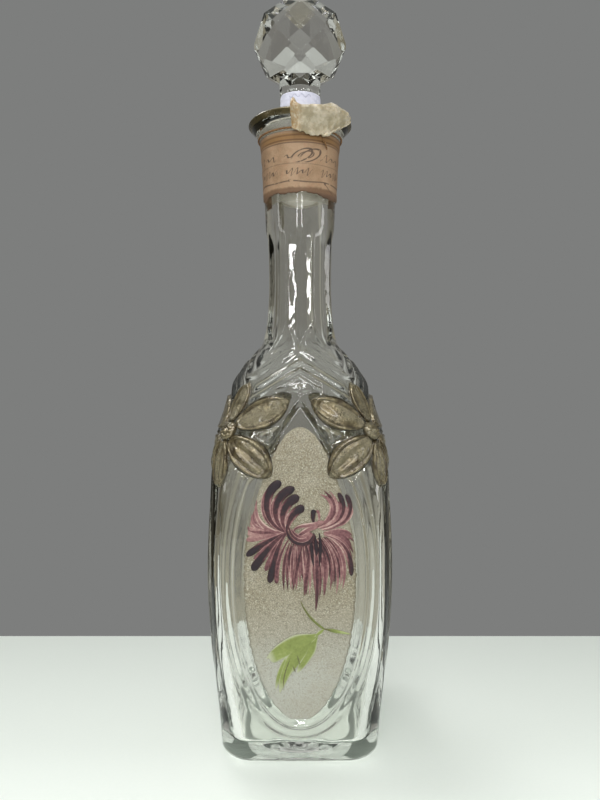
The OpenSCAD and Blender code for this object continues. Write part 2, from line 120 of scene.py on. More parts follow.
class Wire:
    """An output socket that behaves like a number in an expression."""

    def __init__(self, finish, socket):
        self.finish, self.socket = finish, socket

    def _math(self, operation, *terms):
        """One Math node on these terms."""
        return self.finish.node("Math", {"operation": operation}, dict(enumerate(terms)))

    def __add__(self, other):
        """Sum."""
        return self._math("ADD", self, other)

    def __sub__(self, other):
        """Difference."""
        return self._math("SUBTRACT", self, other)

    def __rsub__(self, other):
        """Difference from a number."""
        return self._math("SUBTRACT", other, self)

    def __mul__(self, other):
        """Product."""
        return self._math("MULTIPLY", self, other)

    def __gt__(self, other):
        """1 where greater, else 0."""
        return self._math("GREATER_THAN", self, other)

    def __lt__(self, other):
        """1 where less, else 0."""
        return self._math("LESS_THAN", self, other)

    __radd__, __rmul__ = __add__, __mul__

    def part(self, name):
        """Another output of the same node."""
        return Wire(self.finish, self.socket.node.outputs[name])

    def between(self, low, high):
        """0 below low, 1 above high and a smooth step between them. It runs downwards where low is the
        greater."""
        return self.finish.node("MapRange", {"interpolation_type": "SMOOTHSTEP"},
                                {0: self, 1: low, 2: high})


# %% Finish: a material in the making
class Finish:
    """A material under construction, with one Principled shader."""

    def __init__(self, name):
        self.material = bpy.data.materials.new(name)
        self.material.use_nodes = True
        self.tree = self.material.node_tree
        self.tree.nodes.clear()

    def node(self, kind, settings=None, inputs=None, output=0):
        """Adds a node of any kind. stops is a ramp's list of (place, colour); inputs are values or
        wires."""
        made = self.tree.nodes.new("ShaderNode" + kind)
        for key, value in (settings or {}).items():
            if key == "stops":
                ramp = made.color_ramp
                while len(ramp.elements) < len(value):
                    ramp.elements.new(0.5)
                for element, (position, tint) in zip(ramp.elements, value):
                    element.position, element.color = position, tint
            else:
                setattr(made, key, value)
        for key, value in (inputs or {}).items():
            if isinstance(value, Wire):
                self.tree.links.new(value.socket, made.inputs[key])
            else:
                made.inputs[key].default_value = value
        return Wire(self, made.outputs[output])

    def mix(self, share, first, second, blend="MIX"):
        """Goes from the first colour to the second one as share goes from 0 to 1."""
        return self.node("Mix", {"data_type": "RGBA", "blend_type": blend}, {0: share, 6: first, 7: second},
                         2)

    def place(self):
        """Where a point lies on the object, in metres."""
        return self.node("TexCoord").part("Object")

    def noise(self, scale, detail=3.0, roughness=0.55, distortion=0.0, where=None):
        """Smooth noise with scale waves a metre."""
        return self.node("TexNoise", {}, {"Vector": where or self.place(), "Scale": scale, "Detail": detail,
                                          "Roughness": roughness, "Distortion": distortion})

    def bump(self, height, distance, strength=1.0, under=None):
        """A normal tilted by a height; distance is the height's size in metres."""
        inputs = {"Height": height, "Distance": distance, "Strength": strength}
        return self.node("Bump", {}, {**inputs, **({"Normal": under} if under else {})})

    def principled(self, **inputs):
        """The Principled shader; underscores stand for the spaces in its sockets' names."""
        return self.node("BsdfPrincipled", {}, {key.replace("_", " "): value for key,
                                                value in inputs.items()})

    def show(self, shader):
        """Sends a shader to the material's output."""
        self.node_out = self.tree.nodes.new("ShaderNodeOutputMaterial")
        self.tree.links.new(shader.socket, self.node_out.inputs["Surface"])
        return self

    def glassy(self, shader, tint):
        """Clear glass: the shader, with lamps let through in a tint so that its shadow stays light."""
        path = self.node("LightPath").part("Is Shadow Ray")
        clear = self.node("BsdfTransparent", {}, {"Color": tint})
        return self.show(self.node("MixShader", {}, {0: path, 1: shader, 2: clear}))


# %% [markdown]
# ## Camera, table and light
# The camera stands 26 cm in front of the bottle about half way up it and looks down by three degrees. Clear
# glass has hardly any colour of its own: it shows what stands round it. So the world is a mid grey to the
# camera alone. A ray that the glass bends or mirrors meets a darker front and left, a paler right and top,
# and the pale table ends a little behind the bottle.

# %% Camera
camera = bpy.data.objects.new("camera", bpy.data.cameras.new("camera"))
camera.data.lens, camera.data.sensor_width = 28.8, 36.0
camera.location = (0.0, -0.259, 0.1476)
camera.rotation_euler = (np.radians(87.0), 0, 0)
bpy.context.scene.collection.objects.link(camera)
bpy.context.scene.camera = camera
bpy.context.scene.view_settings.view_transform = "Standard"

# %% Table
def rounded_slab(half_x, y0, y1, radius, drop):
    """Outline rings of a table top: a rectangle with round corners, its top, its eased edge and its
    side."""
    turn = np.radians(np.arange(0, 360, 5))
    corner = np.array([np.cos(turn), np.sin(turn)]).T
    centre = np.sign(np.round(corner, 6)) * [half_x, (y1 - y0) / 2] + [0, (y0 + y1) / 2]
    rings = [centre * [1, 1] + corner * (radius * np.array(k)) for k in (0.98, 1.0, 1.0)]
    heights = [0.0, -radius * 0.05, -drop]
    return [np.column_stack([ring, np.full(len(ring), height)]) for ring, height in zip(rings, heights)]


table_back = 85.0
rings = rounded_slab(420, -420, table_back - 20, 20, 18)
points = np.concatenate([[[0, -100, 0]], *rings])
count = len(rings[0])
table = make_piece("table", points, grid_quads(3, count, True, 1)[:, ::-1], fan(0, np.arange(1, count + 1)))
linen = Finish("pale_table")
grain = linen.noise(900, 2)
linen.show(linen.principled(Base_Color=linen.mix(grain, colour(233, 239, 232), colour(238, 243, 236)),
                            Roughness=0.42))
table.data.materials.append(linen.material)
print("table top ends", table_back, "mm behind the bottle's axis")

# %% World and lamps
world = bpy.data.worlds.new("studio")
bpy.context.scene.world = world
world.use_nodes = True
tree = world.node_tree
tree.nodes.clear()
rays = tree.nodes.new("ShaderNodeLightPath")
seen = None
for name in ("Is Camera Ray", "Is Glossy Ray", "Is Transmission Ray"):
    if seen is None:
        seen = rays.outputs[name]
        continue
    either = tree.nodes.new("ShaderNodeMath")
    either.operation = "MAXIMUM"
    tree.links.new(seen, either.inputs[0])
    tree.links.new(rays.outputs[name], either.inputs[1])
    seen = either.outputs[0]


def world_node(kind, inputs, output=0, **settings):
    """A node of the world, with its inputs set or linked."""
    made = tree.nodes.new("ShaderNode" + kind)
    for key, value in settings.items():
        setattr(made, key, value)
    for key, value in inputs.items():
        if isinstance(value, bpy.types.NodeSocket):
            tree.links.new(value, made.inputs[key])
        else:
            made.inputs[key].default_value = value
    return made.outputs[output]


def world_mix(share, first, second):
    """Goes from one colour to another as share goes from 0 to 1."""
    return world_node("Mix", {0: share, 6: first, 7: second}, 2, data_type="RGBA")


def from_to(value, low, high):
    """A smooth step of a wire of the world."""
    return world_node("MapRange", {0: value, 1: low, 2: high}, interpolation_type="SMOOTHSTEP")


towards = world_node("SeparateXYZ", {0: tree.nodes.new("ShaderNodeTexCoord").outputs["Generated"]})
across, into, up = (towards.node.outputs[axis] for axis in "XYZ")
wall, upper, front = colour(122, 121, 117), colour(198, 202, 196), colour(86, 84, 76)
left, right = colour(92, 88, 74), colour(150, 149, 138)
desk = world_mix(from_to(across, -0.35, 0.35), colour(128, 122, 100), colour(166, 165, 152))
view = world_mix(from_to(into, 0.15, -0.6), wall, front)
view = world_mix(from_to(across, -0.45, -0.9), view, left)
view = world_mix(from_to(across, 0.55, 0.95), view, right)
view = world_mix(from_to(up, 0.3, 0.8), view, upper)
view = world_mix(from_to(up, -0.05, -0.35), view, desk)
bent = world_mix(rays.outputs["Is Camera Ray"], view, colour(125, 126, 125))
light = world_node("Background", {"Color": (0.83, 0.86, 0.84, 1), "Strength": 0.62})
shown = world_node("Background", {"Color": bent, "Strength": 1.0})
tree.links.new(world_node("MixShader", {0: seen, 1: light, 2: shown}),
               tree.nodes.new("ShaderNodeOutputWorld").inputs["Surface"])


# %% Lamps
def soft_box(name, at, aim, size, power):
    """A rectangular lamp at one point that looks at another one."""
    lamp = bpy.data.lights.new(name, "AREA")
    lamp.shape, (lamp.size, lamp.size_y), lamp.energy = "RECTANGLE", size, power
    box = bpy.data.objects.new(name, lamp)
    box.location = at
    direction = Vector(aim) - Vector(at)
    box.rotation_euler = direction.to_track_quat("-Z", "Y").to_euler()
    box.visible_transmission = False
    bpy.context.scene.collection.objects.link(box)
    return box


soft_box("ceiling", (-0.05, -0.42, 0.95), (0, 0, 0.1), (0.36, 0.10), 2.4)
soft_box("overhead", (-0.15, 0.10, 0.98), (0, 0, 0.1), (0.18, 0.10), 2.0)
soft_box("front_lamp", (-0.07, -0.76, 0.86), (0, 0, 0.12), (0.34, 0.10), 2.6)
soft_box("strip_left", (-0.14, -0.95, 0.35), (0, 0, 0.16), (0.025, 0.46), 1.2)
soft_box("strip_right", (0.11, -0.95, 0.42), (0, 0, 0.16), (0.026, 0.66), 1.9)
soft_box("window_right", (0.85, -0.15, 0.2), (0, 0, 0.1), (0.14, 0.3), 0.7)
soft_box("window_left", (-0.85, -0.25, 0.3), (0, 0, 0.12), (0.12, 0.4), 0.5)
soft_box("back_left", (-0.35, 0.55, 0.85), (0, 0, 0.15), (0.24, 0.08), 0.9)

# %% [markdown]
# ## The skin of the glass
# The mould gives the outside its form, and every ornament follows it. So there is one function for the
# plain skin, by height and direction, and one for the relief that the mould pressed out of it or into it.
# The plain skin repeats the solid's sizes. The relief is drawn higher and sharper than the solid's, so that
# the shoulder glints.

# %% Profile and plan
FOOT_R, CORNER_R, FACE_BULGE = 5.0, 10.0, 1.0
LABEL_Z, LABEL_TOP, LIP_Z, LIP_T, LIP_D = 213.0, 235.5, 241.8, 2.4, 40.6
STATIONS = np.array([[5, 30.25], [70, 34], [112, 32.2], [139.8, 25.9], [148.9, 20.7], [157.8, 14.7],
                     [180, 13],
                     [LABEL_Z, 14.1], [LABEL_TOP, 15.5], [LIP_Z, LIP_D / 2]])
SHOULDER_Z, CROWN_Z, ROOT_Z = 112.0, 139.8, 157.8


def ease(t):
    """Goes smoothly from 0 to 1 as t does."""
    t = np.clip(t, 0, 1)
    return t * t * (3 - 2 * t)


def bell(t):
    """A rounded ridge of height 1 about one unit wide."""
    return np.exp(-t * t)


def half_width(z):
    """Half width of the skin: a cubic through the stations, whose slopes are the harmonic mean of their
    secants."""
    z = np.asarray(z, float)
    x, y = STATIONS.T
    secant = np.diff(y) / np.diff(x)
    product = secant[1:] * secant[:-1]
    inner = np.where(product > 0, 2 * product / np.where(product > 0, secant[1:] + secant[:-1], 1), 0)
    slope = np.concatenate([[secant[0]], inner, [secant[-1]]])
    i = np.clip(np.searchsorted(x, z, "right") - 1, 0, len(secant) - 1)
    step = x[i + 1] - x[i]
    t = np.clip((z - x[i]) / step, 0, 1)
    cubic = ((2 * t**3 - 3 * t**2 + 1) * y[i] + (t**3 - 2 * t**2 + t) * step * slope[i]
             + (3 * t**2 - 2 * t**3) * y[i + 1] + (t**3 - t**2) * step * slope[i + 1])
    fillet = y[0] - FOOT_R + np.sqrt(np.clip(FOOT_R**2 - (FOOT_R - z) ** 2, 0, None))
    return np.where(z < FOOT_R, fillet, cubic)


# %% Plan of the corners
def corner_radius(z, w):
    """Radius of the plan's corners: it grows over the shoulder until the neck is round."""
    return CORNER_R + (w - CORNER_R) * ease((z - SHOULDER_Z) / (ROOT_Z - SHOULDER_Z))


def square_radius(a, w, c):
    """Radius of a square with round corners, at an angle a in radians from a face's middle."""
    flat = w - c
    d = flat * (np.cos(a) + np.sin(a))
    return np.where(w * np.tan(a) <= flat, w / np.cos(a),
                    d + np.sqrt(np.clip(d * d - 2 * flat**2 + c * c, 0, None)))


def face_angle(phi):
    """Angle in radians from the middle of the nearest face, for a direction measured from the front."""
    return np.abs((phi + np.pi / 4) % (np.pi / 2) - np.pi / 4)


def plain_radius(phi, z):
    """Radius of the skin without its relief."""
    w = half_width(z)
    c, a = corner_radius(z, w), face_angle(phi)
    return square_radius(a, w, c) - FACE_BULGE * (a / (np.pi / 4)) ** 2 * (1 - c / w)


def polar(phi, r, z):
    """Points from a direction measured from the front towards the right, a radius and a height."""
    phi, r, z = np.broadcast_arrays(phi, r, z)
    return np.stack([r * np.sin(phi), -r * np.cos(phi), z], -1)


print("widest over the faces, mm:", round(float(2 * half_width(70)), 1))

# %% Relief
OVAL_W, OVAL_Z0, OVAL_Z1, OVAL_MID, ARCH = 21.5, 17.5, 134.5, 70.0, 2.35
FIELD_SINK, RIB_H = 0.7, 0.95
CHEVRON_Z, CHEVRON_FALL, FLUTE_H, FLUTE_Z = 149.6, 0.62, 1.1, 153.0
BOSS_Z, BOSS_D, UP, DOWN = 124.5, 7.4, 0.82, 0.98
# A petal is its direction in degrees, its reach and its width; they are mirrored over the corner's ridge.
PETALS = np.array([[90, 21, 8], [33, 23.5, 14.6], [-40, 25.5, 12], [-90, 21, 8]], float)
PETAL_ROOT, PETAL_H = BOSS_D / 2 - 0.6, 1.5


def oval_half(z):
    """Half width of the medallion: half an ellipse below its widest level and a pointed arch above it."""
    z = np.asarray(z, float)
    low = np.sqrt(np.clip(1 - ((OVAL_MID - z) / (OVAL_MID - OVAL_Z0)) ** 2, 0, None))
    high = 1 - np.clip((z - OVAL_MID) / (OVAL_Z1 - OVAL_MID), 0, 1) ** ARCH
    return OVAL_W * np.where(z < OVAL_MID, low, high)


def oval_distance(x, z):
    """Distance from the medallion's outline, negative inside: the outline's function divided by its
    slope."""
    b = OVAL_MID - OVAL_Z0
    v = (OVAL_MID - z) / b
    q = np.maximum(0.01, np.hypot(x / OVAL_W, v))
    low = (q - 1) * q / np.maximum(1e-6, np.hypot(x / OVAL_W**2, v / b))
    b = OVAL_Z1 - OVAL_MID
    v = np.clip((z - OVAL_MID) / b, 1e-6, None)
    high = (x / OVAL_W + v**ARCH - 1) / np.hypot(1 / OVAL_W, ARCH * v ** (ARCH - 1) / b)
    return np.where(z < OVAL_MID, low, high)


def petal_distance(u, v):
    """Distance from the nearest of a flower's petals, taken as rounded strips, in the skin's own plane."""
    nearest = np.full(np.broadcast(u, v).shape, 1e3)
    for turn, reach, width in PETALS:
        c, s = np.cos(np.radians(turn)), np.sin(np.radians(turn))
        along = np.clip(u * c + v * s, PETAL_ROOT, reach - width / 3)
        nearest = np.minimum(nearest, np.hypot(u - along * c, v - along * s) - width / 2)
    return nearest


# %% Height of the relief
def relief(a, r, z):
    """Height of the moulded relief: sunk field, rims round it, chevrons on the shoulder and flutes in the
    neck."""
    x = r * np.sin(a)
    d = oval_distance(x, z)
    e = z + CHEVRON_FALL * x - CHEVRON_Z
    u = (np.pi / 4 - a) * r
    v = (z - BOSS_Z) / np.where(z > BOSS_Z, UP, DOWN)
    clear = ease((petal_distance(u, v) + 0.2) / 1.2)
    below = ease((CROWN_Z + 4 - z) / 6)
    above = ease((FLUTE_Z + 5 - z) / 6) * ease((e + 9) / 3)
    beta = np.abs((np.degrees(a) + 22.5) % 45 - 22.5)
    mouth = ease((LABEL_Z - 11 - z) / 8)
    arch = ease((z - 98) / 14)
    rims = (bell((d - 1.6) / (1 - 0.4 * arch)) + 0.7 * bell((d - 5) / 1.1) + 0.25 * bell((d - 9) / 1.6)
            + 0.8 * arch * bell((d - 3.6) / 0.5))
    ribs = (bell(e / 0.95) + bell((e + 3.2) / 0.95) + 0.6 * bell((e - 5) / 1.6) + 0.45
            * bell((e + 6.1) / 0.8)
            + 0.35 * bell((e - 8.6) / 1.2))
    total = (-FIELD_SINK * ease(-d / 1.5 + 0.5) * below
             + clear * RIB_H * (1 + 0.8 * arch) * below * ease((z - FOOT_R) / 4) * rims
             + clear * 1.3 * RIB_H * above * ribs
             - FLUTE_H * np.clip(1 - (beta / 20.5) ** 2, 0,
                                 None) * mouth * ease((z - FLUTE_Z - beta * 0.42) / 3.2))
    return np.where(z > LABEL_Z, 0, total)


# %% [markdown]
# ## The bottle
# Real bottle glass has an outer skin, a wall and an inner skin, and light bends at both. One closed surface
# holds them: it starts under the foot, runs up the outside, over the lip, down the ground seat and the
# bore, and ends in the middle of the floor. Its rings lie close together where the relief crosses them, and
# its columns crowd at the medallions' rims.

# %% Rings and columns of the outside
HALF_FACE = 32


def spaced(*runs):
    """Heights from runs of (start, end, number)."""
    return np.concatenate([np.linspace(a, b, n, endpoint=False) for a, b, n in runs])


def columns(z):
    """Directions of the columns at each height: few in the field, most over its rim, some round the
    corner."""
    w = half_width(z)
    oval = np.maximum(7, oval_half(z))
    rim0 = np.minimum(np.radians(40), np.arctan((oval - 0.9) / w))
    rim1 = np.minimum(np.radians(43), np.arctan((oval + 6) / w))
    j = np.arange(HALF_FACE + 1)
    knots = np.array([0, 6, 23, HALF_FACE])
    stops = np.stack([np.zeros_like(w), rim0, rim1, np.full_like(w, np.pi / 4)], -1)
    i = np.clip(np.searchsorted(knots, j, "right") - 1, 0, 2)
    t = (j - knots[i]) / (knots[i + 1] - knots[i])
    crowded = stops[:, i] * (1 - t) + stops[:, i + 1] * t
    k = ease((z - SHOULDER_Z + 8) / 22)[:, None]
    half = (np.pi / 4 * j / HALF_FACE)[None] * k + crowded * (1 - k)
    face = np.concatenate([-half[:, :0:-1], half[:, :-1]], 1)
    return np.concatenate([face + np.pi / 2 * f for f in range(4)], 1)


fillet_z = FOOT_R * (1 - np.cos(np.linspace(0, np.pi / 2, 12, endpoint=False)))
body_z = np.concatenate([fillet_z, spaced((FOOT_R, 11, 6), (11, 32, 42), (32, 108, 48), (108, 164, 132),
                                          (164, 214, 34),
                                          (214, 240, 18))])
phi = columns(body_z)
a = face_angle(phi)
r = plain_radius(phi, body_z[:, None])
outside = polar(phi, r + relief(a, r, body_z[:, None]), body_z[:, None])
COLUMNS = phi.shape[1]
print("outside:", outside.shape[:2], "rings and columns")

# %% Foot, lip and inside
even = np.linspace(-np.pi / 4, 2 * np.pi - np.pi / 4, COLUMNS, endpoint=False)


def turned(profile):
    """Rings of a turned surface from (radius, height) pairs."""
    profile = np.asarray(profile, float)
    return polar(even[None], profile[:, :1], profile[:, 1:])


PUNT_D, PUNT_H = 30.0, 1.5
punt_r = np.linspace(0, PUNT_D / 2, 22)[1:]
punt = PUNT_H * (1 - (2 * punt_r / PUNT_D) ** 2) ** 1.5 + 0.2 * bell((punt_r - 10) / 0.9)
under_foot = np.concatenate([turned(np.column_stack([punt_r, punt])),
                             (turned([[PUNT_D / 2, 0]]) + outside[:1]) / 2])
turn = np.linspace(0, np.pi, 9)
crest = np.column_stack([LIP_D / 2 - LIP_T / 2 + LIP_T / 2 * np.cos(turn),
                         LIP_Z + LIP_T / 2 * np.sin(turn)])
SEAT = [[16.6, 242.4], [14.4, 241.2], [9.6, 238.5], [8.05, 236], [7.4, 214], [7.35, 211], [7.15, 210],
        [7.15, 200],
        [7.15, 180], [7.3, 166], [8.2, 159]]
lip_and_bore = turned(np.concatenate([crest, SEAT]))
uneven = 0.022 * np.sin(7 * even + 1) + 0.016 * np.sin(12 * even + 2) + 0.008 * np.sin(23 * even)
lip_and_bore[..., :2] *= (1 + uneven * ease((208 - lip_and_bore[..., 2]) / 10))[..., None]

WALL, FOOT_WALL, FLOOR_Z, FLOOR_R = 4.5, 2.0, 6.5, 3.0


def inside_ring(z):
    """The inner skin: the outer one moved in by the wall, which is uneven because the glass was blown."""
    z = np.asarray(z, float)[:, None]
    w = np.maximum(7.6, half_width(z) - WALL - FOOT_WALL * (1 - ease((z - FLOOR_Z) / 40)))
    c = np.minimum(w - 0.1, np.maximum(3.5, corner_radius(z, half_width(z)) - WALL))
    wave = (0.22 * np.sin(3 * even + z / 17) + 0.12 * np.sin(5 * even - z / 11 + 1)
            + 0.1 * np.sin(z / 8 + 2 * even))
    return polar(even[None], square_radius(face_angle(even[None]), w, c) + wave * ease((150 - z) / 30), z)


hollow = inside_ring(spaced((153, 112, 14), (112, 30, 22), (30, FLOOR_Z + FLOOR_R, 6)))
start = inside_ring([FLOOR_Z + FLOOR_R])[0]
reach = np.hypot(start[:, 0], start[:, 1])
turn = np.linspace(0, np.pi / 2, 6)[1:, None]
bend = 1 - FLOOR_R * (1 - np.cos(turn)) / reach
flat = bend[-1:] * np.linspace(1, 0, 8)[1:-1, None]
share = np.concatenate([bend, flat])
fall = np.concatenate([FLOOR_R * (1 - np.sin(turn)), np.zeros((6, 1))])
radius = share * reach
bowl_z = FLOOR_Z + fall + 2.6 * bell(radius / 11) - 0.5 * bell((radius - 17) / 4)
bowl = np.stack([start[:, 0] * share, start[:, 1] * share, bowl_z], -1)
print("floor's middle, mm:", round(float(bowl_z[-1].mean()), 2))

# %% The glass as one closed surface
rows = np.concatenate([under_foot, outside, lip_and_bore, hollow, start[None], bowl])
n = len(rows)
poles = np.array([[0, 0, PUNT_H], [0, 0, FLOOR_Z + 2.6]])
points = np.concatenate([rows.reshape(-1, 3), poles])
first, final = np.arange(COLUMNS), (n - 1) * COLUMNS + np.arange(COLUMNS)
caps = np.concatenate([fan(n * COLUMNS, first, flip=True), fan(n * COLUMNS + 1, final)])
bottle = make_piece("bottle_clear_glass", points, grid_quads(n, COLUMNS, True), caps)

# %% [markdown]
# ## Clear glass
# Old soda glass is almost colourless, with a breath of grey green where it is thick. Its skin isn't quite
# even: the mould was cold and left shallow ripples. Where the stopper's seat was ground with emery, both
# pieces are matt.

# %% Glass finish
def old_glass(name, tint, seat_low, seat_high, seat_radius, ripple, gilded=0.0):
    """Clear glass with a faint ripple, matt inside a ring round the axis between two heights, gilded above
    a height."""
    glass = Finish(name)
    where = glass.place()
    x, y, z = (glass.node("SeparateXYZ", {}, {0: where}).part(axis) for axis in "XYZ")
    across = x * x + y * y
    seat = (across < seat_radius**2) * (z > seat_low) * (z < seat_high)
    waves = glass.noise(55, 2, 0.5, where=where) + glass.noise(300, 2, 0.5, where=where) * 0.12
    grit = glass.noise(5200, 2, 0.6, where=where) * seat
    normal = glass.bump(grit, 0.00018, 1.0, glass.bump(waves, ripple))
    shader = glass.principled(Base_Color=tint, Roughness=seat * 0.34 + 0.012, IOR=1.5,
                              Transmission_Weight=1.0, Normal=normal)
    ground = glass.principled(Base_Color=glass.mix(glass.noise(900, 2, where=where), colour(196, 190, 172),
                                                   colour(216, 211, 196)), Roughness=0.7)
    shader = glass.node("MixShader", {}, {0: seat * 0.45, 1: shader, 2: ground})
    if gilded:
        worn = glass.noise(420, 4, 0.62, where=where)
        gilt = glass.principled(Base_Color=glass.mix(worn, colour(60, 54, 36), colour(112, 100, 70)),
                                Metallic=0.7,
                                Roughness=worn * 0.4 + 0.1)
        film = z.between(gilded, gilded + 0.0005) * (across > 0.0175**2) * worn.between(0.27, 0.36)
        shader = glass.node("MixShader", {}, {0: film * 0.92, 1: shader, 2: gilt})
    return glass.glassy(shader, (0.7, 0.715, 0.705, 1))


clear_glass = old_glass("clear_moulded_glass", (0.965, 0.967, 0.943, 1), 0.2115, 0.2412, 0.0138, 0.0004,
                        LIP_Z * MM - 0.0016)
place(bottle, clear_glass, "clear_glass", "bottle", "bottle_glass")

# %% [markdown]
# ## Sanded ground
# Before the enamel was painted, the sunk front medallion was dusted with fine glass grit and fired, which
# gives a matt warm grey field that paint clings to. A thin closed slab follows the sunk field; its grains
# are in the finish.

# %% Slab over the field
def on_field(x, z, h):
    """A point h above the sunk field of the front face, from its distance across and its height."""
    phi = np.arctan(x / half_width(z))
    return polar(phi, plain_radius(phi, z) - FIELD_SINK + h, z)


def closed_slab(top, under):
    """Points and faces of a slab between two grids: the top, the turned under side and a strip round the
    edge."""
    rows, count = top.shape[:2]
    size = rows * count
    numbers = np.arange(size).reshape(rows, count)
    rim = np.concatenate([numbers[0], numbers[1:, -1], numbers[-1, -2::-1], numbers[-2:0:-1, 0]])
    after = np.roll(rim, -1)
    edge = np.stack([after, rim, rim + size, after + size], -1)
    quads = grid_quads(rows, count)
    return np.concatenate([top.reshape(-1, 3), under.reshape(-1, 3)]), np.concatenate(
        [quads, quads[:, ::-1] + size, edge])


LAY, SAND_T, SAND_INSET = 0.1, 0.35, 1.1
SAND_H = LAY + SAND_T
t = ease(np.linspace(0, 1, 90))[:, None]
SAND_TOP = BOSS_Z + 1.3
z = OVAL_Z0 + SAND_INSET + (SAND_TOP - OVAL_Z0 - SAND_INSET) * t
ragged = 0.16 * np.sin(z * 1.9) + 0.12 * np.sin(z * 4.3 + 1) + 0.08 * np.sin(z * 9.1 + 2)
half = np.minimum(oval_half(z) - SAND_INSET, 3.1 * np.sqrt(np.maximum(0, SAND_TOP - z)))
half = np.maximum(0.3, half + ragged * ease((z - 20) / 4) * ease((SAND_TOP - z) / 3))
side = np.linspace(-1, 1, 33)[None]
points, faces = closed_slab(on_field(side * half, z, SAND_H), on_field(side * half, z, LAY))
sand = make_piece("sanded_medallion_ground", points, faces)

# %% Grit finish
grit = Finish("sanded_grit")
where = grit.place()
height = grit.node("SeparateXYZ", {}, {0: where}).part("Z")
upper = height.between(0.032, 0.068)
specks = grit.noise(1350, 2, 0.75, where=where)
fine = grit.noise(3300, 1, 0.5, where=where)
cloud = grit.noise(70, 3, 0.6, where=where)
tone = grit.mix(upper, colour(164, 164, 154), colour(127, 118, 96))
tone = grit.mix(cloud.between(0.42, 0.62) * 0.35, tone, colour(150, 143, 126))
tone = grit.mix(specks.between(0.5, 0.64) * (upper * 0.5 + 0.3), tone, colour(100, 93, 75))
tone = grit.mix(fine.between(0.52, 0.66) * (upper * 0.35 + 0.3), tone, colour(200, 197, 180))
grit.show(grit.principled(Base_Color=tone, Roughness=0.62 - fine * 0.2,
                          Normal=grit.bump(specks * 0.6 + fine * 0.4, 0.00035, 1.0)))
place(sand, grit, "sanded_ground", "bottle", "sanded_medallion")

# %% [markdown]
# ## Gilded flowers
# Each corner of the shoulder carries a moulded flower: a beaded boss, petals up and down the corner's ridge
# and two pairs on the faces beside it. A petal is a bowl with a raised rim, which runs out to a thin edge
# on the glass. Its two parameters, from root to tip and across, are kept as its own coordinates so that the
# worn gilding, a painted highlight along each rim's crest and painted shade in the groove inside it can
# follow its form.

# %% Petals and boss
PETAL_GAP = 0.1


def petal_half(s, width):
    """Half width along a petal: a sine pulled towards the tip and made full by a power."""
    return np.maximum(0.2, width / 2 * np.sin(np.pi * (0.12 * s + 0.88 * s**1.15)) ** 0.58)


def petal_height(s, t, folded):
    """Height over the skin: a raised rim round a bowl with fine ribs, or round two lobes with a crease
    between them."""
    q = np.abs(2 * s - 1)
    edge = (t**6 + q**9) ** (1 / 6)
    rim = 0.6 * bell((edge - 0.78) / 0.11) * ease((1.04 - edge) / 0.2)
    floor = 0.3 * ease((1.02 - edge) / 0.3)
    lobes = 0.42 * bell((np.abs(t) - 0.38) / 0.3) - 0.16 * bell(t / 0.12)
    bowl = 0.07 * np.cos(9 * t + 2 * s) * ease((0.7 - edge) / 0.3) + 0.1 * (1 - s)
    return PETAL_H * (0.06 + floor + rim + np.where(folded, lobes, bowl) * ease((0.72 - edge) / 0.35))


def petal(corner, turn, reach, width, folded):
    """A petal's points over the skin, from its root to its tip and across."""
    s = (1 - np.cos(np.linspace(0, np.pi, 49)))[:, None] / 2
    t = np.sin(np.linspace(-np.pi / 2, np.pi / 2, 25))[None]
    c, d = np.cos(np.radians(turn)), np.sin(np.radians(turn))
    along = PETAL_ROOT + (reach - PETAL_ROOT) * s
    across = t * petal_half(s, width)
    u, v = along * c - across * d, along * d + across * c
    z = BOSS_Z + np.where(v > 0, UP, DOWN) * v
    phi = corner + u / plain_radius(corner, z)
    top = polar(phi, plain_radius(phi, z) + PETAL_GAP + petal_height(s, t, folded), z)
    s, t = np.broadcast_arrays(s, t)
    return top, polar(phi, plain_radius(phi, z) + PETAL_GAP, z), np.stack([s, t], -1)


def boss(corner):
    """The boss: a low dome with a ring of beads round a middle bead, by radius and angle."""
    k, turn = np.linspace(0.02, 1, 22)[:, None], np.linspace(0, 2 * np.pi, 72, endpoint=False)[None]
    z = BOSS_Z + BOSS_D / 2 * k * np.sin(turn) * np.where(np.sin(turn) > 0, UP, DOWN)
    phi = corner + BOSS_D / 2 * k * np.cos(turn) / plain_radius(corner, BOSS_Z)
    dome = 1.75 * np.clip(1 - k**2.6, 0, 1) ** 0.5 + 0.1
    beads = 0.34 * bell((k - 0.56) / 0.14) * (0.5 + 0.5 * np.cos(9 * turn))
    beads = beads + 0.5 * bell(k / 0.22) - 0.3 * bell((k - 0.33) / 0.1)
    top = polar(phi, plain_radius(phi, z) + PETAL_GAP + PETAL_H * (dome * 0.72 + beads), z)
    edge = polar(phi[-1:], plain_radius(phi[-1:], z[-1:]) + PETAL_GAP, z[-1:])
    rows = np.concatenate([edge, top[::-1]])
    hubs = np.stack([rows[-1].mean(0), rows[0].mean(0)])
    numbers = len(rows) * 72
    inner = (len(rows) - 1) * 72 + np.arange(72)
    k, turn = np.broadcast_arrays(k, turn)
    rings = np.concatenate([[[1.0] * 72], k[::-1]])
    pairs = np.stack([1 - rings, np.zeros_like(rings)], -1).reshape(-1, 2)
    return (np.concatenate([rows.reshape(-1, 3), hubs]), grid_quads(len(rows), 72, True),
            np.concatenate([fan(numbers, inner), fan(numbers + 1, np.arange(72), True)]),
            np.concatenate([pairs, [[1, 0], [0, 0]]]))


